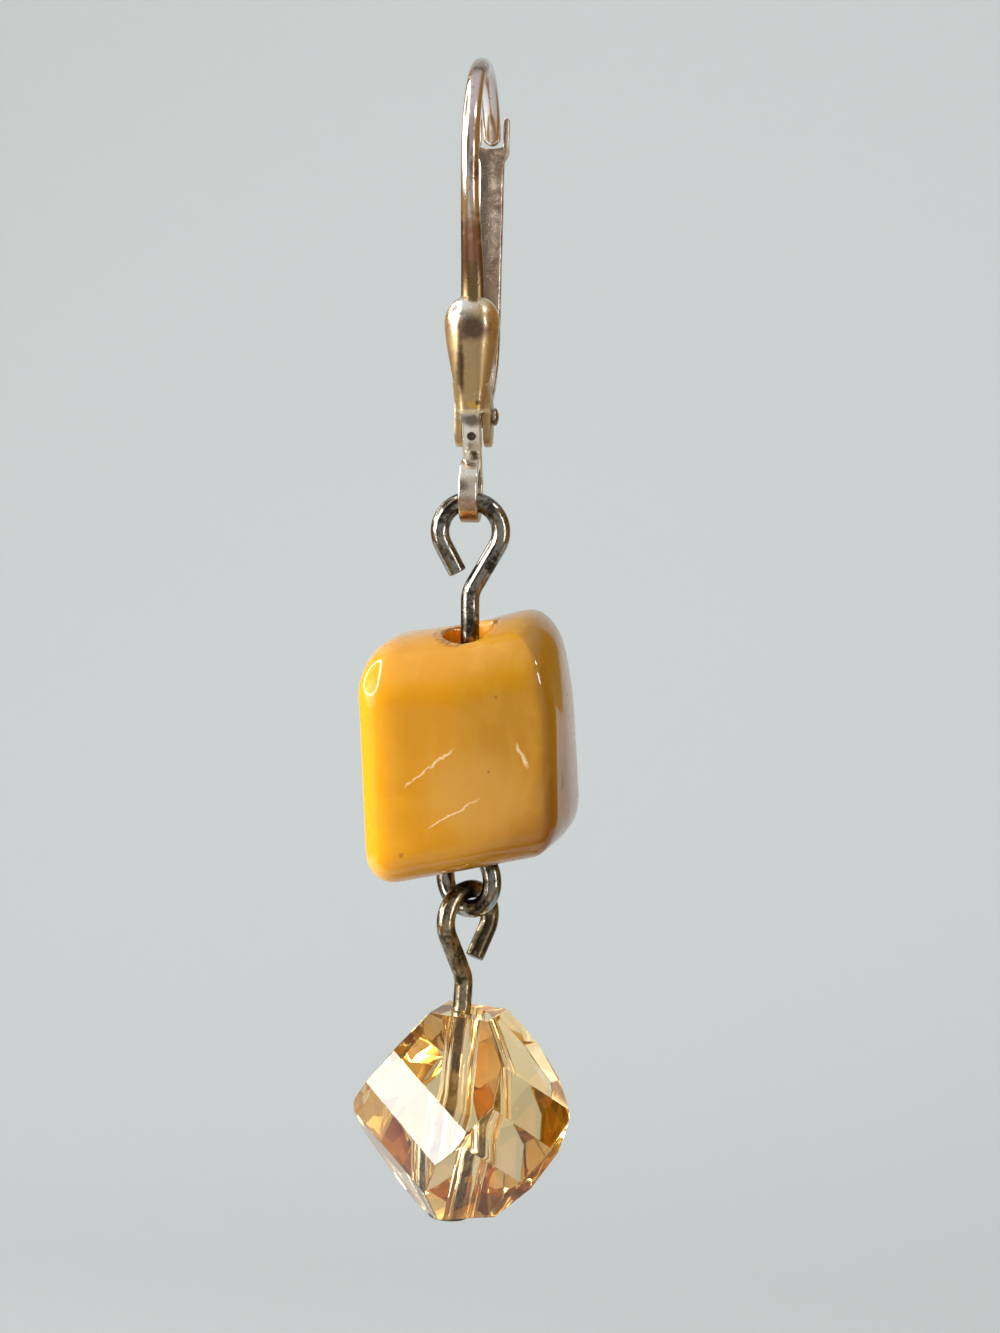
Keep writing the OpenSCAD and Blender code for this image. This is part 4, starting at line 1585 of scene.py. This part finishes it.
@dataclass
class CrystalBead(Piece):
    """Facetted crystal bead, in the head pin's leaning frame.

    A facet has its turn and its rise in degrees and its share of the bead's half width.
    """

    place: Matrix
    w: float = 8.0
    h: float = 7.8
    top: float = -3.9465
    shift: float = 0.25
    turn: float = 53.0
    bore_r: float = 0.65
    bevel: float = 0.035
    crisp_angle: float = 9.0
    facets: tuple[Point, ...] = (
        (0.0, 0.0, 1.0), (-33.0, 8.0, 1.0), (8.0, 13.0, 0.80), (25.0, 36.0, 0.81))

    node, body, slot = "crystal_bead", "crystal", "champagne_glass"

    def meshes(self) -> list[Mesh]:
        """Cuts the facets and bores the bead.

        Returns:
            Its mesh.
        """
        bm = bmesh.new()
        bmesh.ops.create_cube(bm, size=2 * self.w)
        for way in (1.0, -1.0):
            self.cut(bm, Vector((0.0, 0.0, way)), self.h / 2)
        for k in range(4):
            quarter = Matrix.Rotation(math.radians(90 * k), 3, "Z")
            for flip in (0.0, math.pi):
                for turn, rise, share in self.facets:
                    level, up = polar(ORIGIN, 1.0, rise)
                    normal = Vector((*polar(ORIGIN, level, turn), up))
                    normal = quarter @ Matrix.Rotation(flip, 3, "X") @ normal
                    self.cut(bm, normal, share * self.w / 2)
        bmesh.ops.remove_doubles(bm, verts=bm.verts, dist=1e-4)
        bmesh.ops.dissolve_limit(bm, angle_limit=0.002, verts=bm.verts, edges=bm.edges)
        bmesh.ops.bevel(bm, geom=list(bm.edges), offset=self.bevel, offset_type="OFFSET",
                        segments=2, profile=0.6, affect="EDGES", clamp_overlap=True)
        middle = Matrix.Translation((self.shift, 0.0, self.top - self.h / 2))
        placed = self.place @ middle @ Matrix.Rotation(math.radians(self.turn), 4, "Z")
        bmesh.ops.transform(bm, matrix=Matrix.Scale(MM, 4) @ placed, verts=bm.verts)
        bmesh.ops.recalc_face_normals(bm, faces=bm.faces)
        finish = self.shop.finish["champagne crystal"]
        body = linked("crystal body", finished_mesh(bm, finish, 0.5))
        outline = [(way * (self.h / 2 + 0.5), self.bore_r) for way in (-1.0, 1.0)]
        drill = linked("drill", turned(outline, placed, finish, 64, smooth_angle=40.0))
        bore = body.modifiers.new("bore", "BOOLEAN")
        bore.operation, bore.object, bore.solver = "DIFFERENCE", drill, "EXACT"
        mesh = taken(body)
        bpy.data.objects.remove(drill)
        mesh.set_sharp_from_angle(angle=math.radians(self.crisp_angle))
        return [mesh]

    def cut(self, bm: bmesh.types.BMesh, normal: Vector, distance: float) -> None:
        """Cuts one facet.

        Args:
            bm: the worked mesh.
            normal: the facet's outward direction.
            distance: its distance from the bead's middle.
        """
        geom = bm.verts[:] + bm.edges[:] + bm.faces[:]
        result = bmesh.ops.bisect_plane(bm, geom=geom, dist=1e-6, plane_co=normal * distance,
                                        plane_no=normal, clear_outer=True)
        rim = [e for e in result["geom_cut"] if isinstance(e, bmesh.types.BMEdge)]
        if rim:
            bmesh.ops.edgeloop_fill(bm, edges=rim)


@dataclass(frozen=True)
class Glow:
    """A soft round zone of the studio's surroundings, with its radii in degrees."""

    way: Point
    inner: float
    outer: float
    colour: Colour


@dataclass(frozen=True)
class Softbox:
    """A soft rectangular light, in m and watts."""

    name: str
    at: Point
    aim: Point
    size: Pair
    power: float
    colour: Colour = (1.0, 1.0, 1.0)

    def hang(self) -> bpy.types.Object:
        """Hangs the light.

        Returns:
            The light.
        """
        data = bpy.data.lights.new(self.name, "AREA")
        data.shape = "RECTANGLE"
        data.size, data.size_y = self.size
        data.energy = self.power
        data.color = self.colour
        light = bpy.data.objects.new(self.name, data)
        light.location = self.at
        way = Vector(self.aim) - Vector(self.at)
        light.rotation_euler = way.to_track_quat("-Z", "Y").to_euler()
        bpy.context.scene.collection.objects.link(light)
        return light


@dataclass
class Studio:
    """Camera, pale sweep, surroundings and soft lights. Sizes in m and degrees."""

    camera_at: Point = (0.017315, -0.151967, 0.0)
    yaw: float = 6.197
    pitch: float = 8.41
    roll: float = 0.35
    lens: float = 109.59
    floor_z: float = -0.16
    wall_y: float = 0.62
    wall_top: float = 1.1
    cove_r: float = 0.25

    def camera(self) -> None:
        """Sets the camera at the photograph's viewing angle."""
        data = bpy.data.cameras.new("camera")
        data.sensor_fit = "VERTICAL"
        data.sensor_height = 36.0
        data.lens = self.lens
        data.clip_start, data.clip_end = 0.005, 5.0
        a, p, r = (math.radians(v) for v in (self.yaw, self.pitch, self.roll))
        ahead = Vector((-math.sin(a) * math.cos(p), math.cos(a) * math.cos(p), -math.sin(p)))
        right = Vector((math.cos(a), math.sin(a), 0.0))
        up = right.cross(ahead)
        right, up = (right * math.cos(r) + up * math.sin(r), up * math.cos(r) - right * math.sin(r))
        matrix = Matrix((right, up, -ahead)).transposed().to_4x4()
        matrix.translation = Vector(self.camera_at)
        camera = bpy.data.objects.new("camera", data)
        camera.matrix_world = matrix
        scene = bpy.context.scene
        scene.collection.objects.link(camera)
        scene.camera = camera
        scene.view_settings.view_transform = "Standard"

    def sweep(self, finish: SweepFinish) -> None:
        """Makes the floor that curves up into the wall.

        Args:
            finish: its paint.
        """
        foot = (self.wall_y - self.cove_r, self.floor_z)
        cove = arc((foot[0], foot[1] + self.cove_r), self.cove_r, -90.0, 0.0, 5.0)
        floor = line((-0.05, self.floor_z), foot, 0.1)
        profile = joined(floor, cove, [(self.wall_y, self.wall_top)])
        bm = bmesh.new()
        rows = [[bm.verts.new((x, y, z)) for x in (-0.36, 0.30)] for y, z in profile]
        for a, b in zip(rows, rows[1:]):
            bm.faces.new((a[0], a[1], b[1], b[0]))
        bmesh.ops.recalc_face_normals(bm, faces=bm.faces)
        piece = assemble("studio_sweep", [finished_mesh(bm, finish.material(), 180.0)])

    def surroundings(self, base: Colour, glows: tuple[Glow, ...], plain: Colour) -> None:
        """Paints the surroundings that the metal and the crystal reflect.

        Args:
            base: colour away from every zone.
            glows: the zones, each painted over those before it.
            plain: colour that is seen behind the piece where the sweep ends.
        """
        world = bpy.data.worlds.new("surroundings")
        bpy.context.scene.world = world
        world.use_nodes = True
        g = Graph(world.node_tree)
        way = g.vector("NORMALIZE", g.out("ShaderNodeTexCoord", "Generated"))
        colour: object = base
        for glow in glows:
            facing = g.vector("DOT_PRODUCT", way, Vector(glow.way).normalized())
            low, high = (math.cos(math.radians(v)) for v in (glow.outer, glow.inner))
            colour = g.blend(g.remap(facing, low, high), colour, glow.colour)
        colour = g.blend(g.out("ShaderNodeLightPath", "Is Camera Ray"), colour, plain)
        back = g.out("ShaderNodeBackground", 0, {"Color": colour, "Strength": 1.0})
        g.add("ShaderNodeOutputWorld", {"Surface": back})

    def ring_lamp(self, at: Point, aim: Point, radii: Pair, tube: float, strength: float) -> None:
        """Hangs a ring-shaped lamp that only its light and its reflection show.

        Args:
            at: where its middle hangs.
            aim: where it points.
            radii: its outer radii, level and upright.
            tube: width of its tube.
            strength: how bright it is.
        """
        material = bpy.data.materials.new("lamp tube")
        material.use_nodes = True
        g = Graph(material.node_tree)
        sockets = {"Color": (1.0, 0.98, 0.95, 1.0), "Strength": strength}
        g.add("ShaderNodeOutputMaterial", {"Surface": g.out("ShaderNodeEmission", 0, sockets)})
        turn = (Vector(aim) - Vector(at)).to_track_quat("-Z", "Y").to_matrix().to_4x4()
        place = Matrix.Translation(at) @ turn
        bm = bmesh.new()
        rows = []
        for a in around(64):
            spots = [((radii[0] - off) * math.cos(a), (radii[1] - off) * math.sin(a), 0.0)
                     for off in (tube, 0.0)]
            rows.append([bm.verts.new(place @ Vector(spot)) for spot in spots])
        for a, b in zip(rows, rows[1:] + rows[:1]):
            bm.faces.new((a[0], b[0], b[1], a[1]))
        lamp = assemble("ring_lamp", [finished_mesh(bm, material, 180.0)])
        lamp.visible_camera = lamp.visible_shadow = False

    def flagged(self, bead: bpy.types.Object) -> None:
        """Hangs the lights that the metal and the crystal reflect, flagged off one bead.

        Args:
            bead: the bead, which gets a soft light from the same side and one small sparkle.
        """
        left, right, middle = (-0.36, -0.30, 0.0), (0.36, -0.24, 0.0), (0.0, 0.0, -0.02)
        key_at, bead_at, strip, square = ((-0.385, -0.201, 0.031), (0.0, -0.003, -0.025),
                                          (0.03, 0.34), (0.19, 0.19))
        glare = [Softbox("facet light", key_at, (-0.003, -0.006, -0.038), square, 1.5).hang(),
                 Softbox("left strip light", left, middle, strip, 0.32).hang(),
                 Softbox("right strip light", right, middle, strip, 0.45).hang()]
        soft = Softbox("left key", key_at, bead_at, square, 1.6).hang()
        soft.visible_glossy = False
        spark = Softbox("sparkle", (0.36, -0.24, 0.22), bead_at, (0.1, 0.12), 0.5).hang()
        spark.visible_diffuse = False
        for state, lights in (("EXCLUDE", glare), ("INCLUDE", [soft, spark])):
            group = bpy.data.collections.new(f"{state.lower()}d by flags")
            group.objects.link(bead)
            group.collection_objects[0].light_linking.link_state = state
            for light in lights:
                light.light_linking.receiver_collection = group

    def build(self) -> None:
        """Sets up the studio, apart from the flagged lights."""
        self.camera()
        self.sweep(SweepFinish("pale paint", (0.577, 0.628, 0.647), (0.52, 0.565, 0.587)))
        self.surroundings((0.32, 0.18, 0.045), (
            Glow((0.0, 0.1, 1.0), 25.0, 60.0, (0.62, 0.63, 0.65)),
            Glow((0.3, -0.95, 0.1), 30.0, 62.0, (0.42, 0.40, 0.37)),
            Glow((-0.9, -0.30, 0.25), 14.0, 32.0, (2.2, 2.15, 2.05)),
            Glow((-0.44, -0.80, 0.33), 15.0, 28.0, (0.09, 0.065, 0.045)),
            Glow((-0.1, -0.65, -0.75), 12.0, 26.0, (0.62, 0.60, 0.55)),
            Glow((0.1, -0.35, -0.93), 8.0, 20.0, (0.22, 0.125, 0.04))), (0.60, 0.63, 0.625))
        self.ring_lamp((-0.287, -0.003, 0.174), (0.0, -0.003, -0.022), (0.235, 0.165), 0.034, 13.0)
        Softbox("upper softbox", (0.28, -0.07, 0.29), (0.0, 0.0, -0.02), (0.05, 0.05), 0.25).hang()
        Softbox("wall wash", (0.0, 0.05, 0.5), (0.0, 0.62, 0.45), (0.4, 0.3), 0.85,
                (0.94, 1.0, 0.99)).hang()
        LOG.info("studio is set")


def main() -> None:
    """Builds the sub-assemblies in order."""
    logging.basicConfig(level=logging.INFO, format="%(name)s: %(message)s")
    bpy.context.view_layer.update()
    studio = Studio()
    studio.build()
    shop = Shop()
    eye = EyeBend()
    lean = Matrix.Rotation(math.radians(3.5), 4, "Y")
    drop = Matrix.Translation((0.0, DROP_Y, -31.40308)) @ lean
    EarHook(shop).build()
    HingeRivet(shop).build()
    Lever(shop).build()
    EyePin(shop, eye).build()
    studio.flagged(AmberBead(shop).build())
    HeadPin(shop, eye, drop).build()
    CrystalBead(shop, drop).build()


if __name__ == "__main__":
    main()
